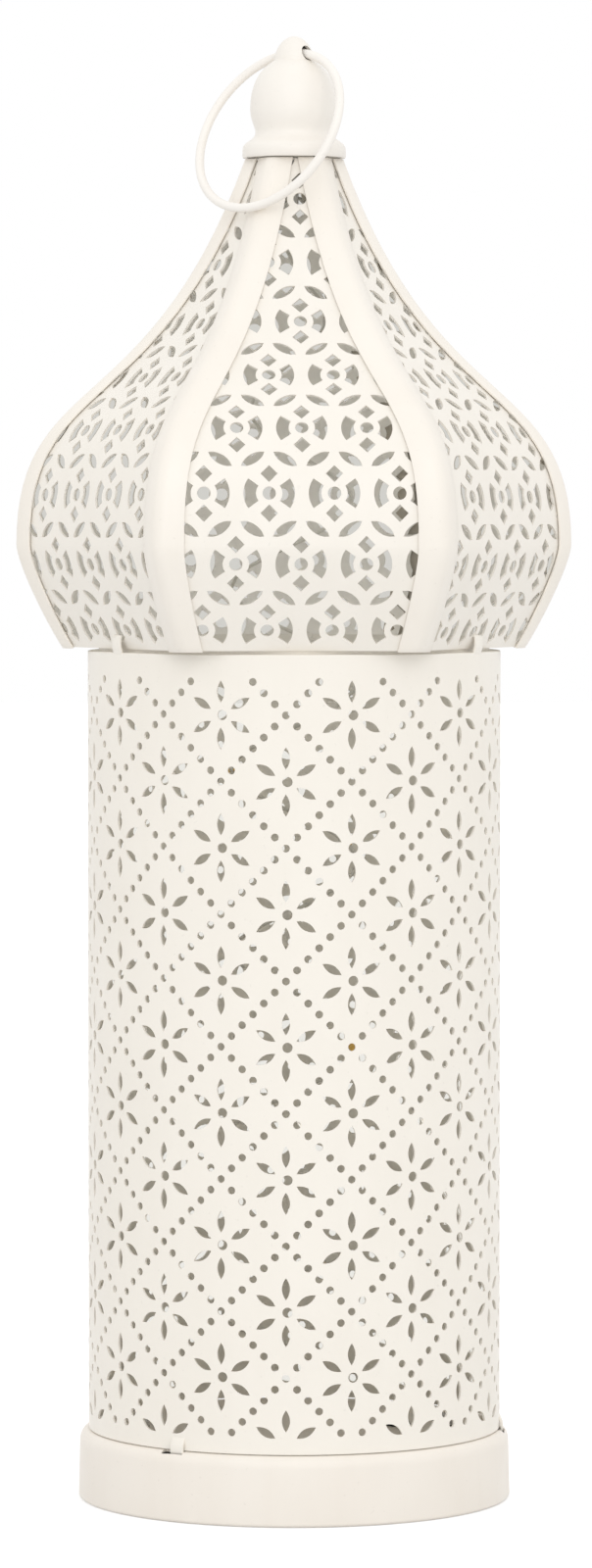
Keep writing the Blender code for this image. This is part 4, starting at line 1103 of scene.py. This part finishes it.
ring_radius = 23.4 * mm
ring_wire = 2.4 * mm
ring_ride = 0.5026 * mm
ring_lean = math.radians(26)
bpy.ops.mesh.primitive_torus_add(major_radius=ring_radius, minor_radius=ring_wire / 2, major_segments=120,
                                 minor_segments=20)
ring = bpy.context.object
ring.name = "lantern_ring"
turn = Matrix.Rotation(math.atan2(-ring_axis.y, -ring_axis.x), 4, "Z")
ring.matrix_world = (Matrix.Translation(ring_pivot) @ turn @ Matrix.Rotation(-ring_lean, 4, "X")
                     @ Matrix.Translation((0, 0, ring_ride - ring_radius))
                     @ Matrix.Rotation(math.radians(90), 4, "X"))
pick(ring)
bpy.ops.object.transform_apply(location=True, rotation=True, scale=True)
soften(ring, 60)
ring_paint = sprayed_paint("ring_paint", (0.915, 0.88, 0.83), (0.885, 0.845, 0.79),
                           roughness=(0.36, 0.48), peel=0.2)
finish_piece(ring, ring_paint, "ring_paint", "ring", "hang_ring")


# Studio
# A plain pale floor in an even white room, with one broad lamp in front. A clear skin in the thickness of the
# pierced walls paints shade over the room where it is seen out through the holes, as the photograph shows
# grey there.

def shown_rays(tree):
    """1 for the rays that show the room itself, to the camera or in gloss and glass, and 0 for its light."""
    path = Shade(tree)
    seen = path.node("ShaderNodeLightPath", output="Is Camera Ray")
    for kind in ("Is Glossy Ray", "Is Transmission Ray"):
        seen = seen.math("MAXIMUM", seen, path.node("ShaderNodeLightPath", output=kind))
    return seen


floor_size = 14
bpy.ops.mesh.primitive_plane_add(size=floor_size)
floor = bpy.context.object
floor.name = "studio_floor"
floor_finish, floor_shader = start_finish("floor_finish")[:2]
floor_shader.inputs["Base Color"].default_value = (0.70, 0.70, 0.70, 1)
floor_shader.inputs["Roughness"].default_value = 0.9
floor_shader.inputs["Emission Strength"].default_value = 0.4
shown_rays(floor_finish.node_tree).tint((0, 0, 0), (1, 1, 1)).feed(floor_shader, "Emission Color")
floor.data.materials.append(floor_finish)

world = bpy.data.worlds.new("studio_room")
world.use_nodes = True
bpy.context.scene.world = world
world.node_tree.nodes["Background"].inputs["Color"].default_value = (1, 1, 1, 1)


def painted_hole_shade(name, profile, steps, hole_shade_colour):
    """A skin turned from (radius, height) points that paints shade only over what is seen through it from
    inside.
    """
    shade_skin = spun(name, profile, steps)
    finish = bpy.data.materials.new(name)
    finish.use_nodes = True
    tree = finish.node_tree
    tree.nodes.remove(tree.nodes["Principled BSDF"])
    leaving = Shade(tree).node("ShaderNodeNewGeometry", output="Backfacing") * shown_rays(tree)
    clear = leaving.node("ShaderNodeBsdfTransparent")
    grey = leaving.node("ShaderNodeBsdfTransparent", None, {"Color": (*hole_shade_colour, 1)})
    seen_shaded = leaving.node("ShaderNodeMixShader", None, {0: leaving, 1: clear, 2: grey})
    seen_shaded.feed(tree.nodes["Material Output"], "Surface")
    shade_skin.data.materials.append(finish)


# Painted shade: the room seen out through the holes is greyed, darker over the dome than over the body.
wall_line = [(wall_middle, tube_foot), (wall_middle, step_low)]
painted_hole_shade("body_hole_shade", wall_line, steps_across * columns, (0.73, 0.72, 0.68))
dome_middle = [(point.x / flat, point.y) for point, along in dome_line(sheet + gap + sheet / 2)]
painted_hole_shade("dome_hole_shade", dome_middle, sides, (0.64, 0.63, 0.595))

lamp_place = Vector((0.1, -2.3, 1.1))
lamp_target = Vector((0, 0, 0.2))
lamp_size = 2.0
lamp_power = 13
bpy.ops.object.light_add(type="AREA", location=lamp_place)
lamp = bpy.context.object
lamp.name = "front_lamp"
lamp.data.size = lamp_size
lamp.data.energy = lamp_power
lamp.rotation_euler = (lamp_target - lamp_place).to_track_quat("-Z", "Y").to_euler()

camera_turn = math.radians(-1.7)
camera_tilt = math.radians(90 - 2.48)
camera_distance = 1.718
camera_height = 0.267
camera_side = 0.5 * mm
camera_data = bpy.data.cameras.new("photo_camera")
camera = bpy.data.objects.new("photo_camera", camera_data)
bpy.context.scene.collection.objects.link(camera)
camera_data.lens = 146.4
camera_data.sensor_width = 36
camera_data.clip_end = 50
camera.location = (camera_distance * math.sin(camera_turn) + camera_side,
                   -camera_distance * math.cos(camera_turn), camera_height)
camera.rotation_euler = (camera_tilt, 0, camera_turn)
bpy.context.scene.camera = camera
bpy.context.scene.view_settings.view_transform = "Standard"
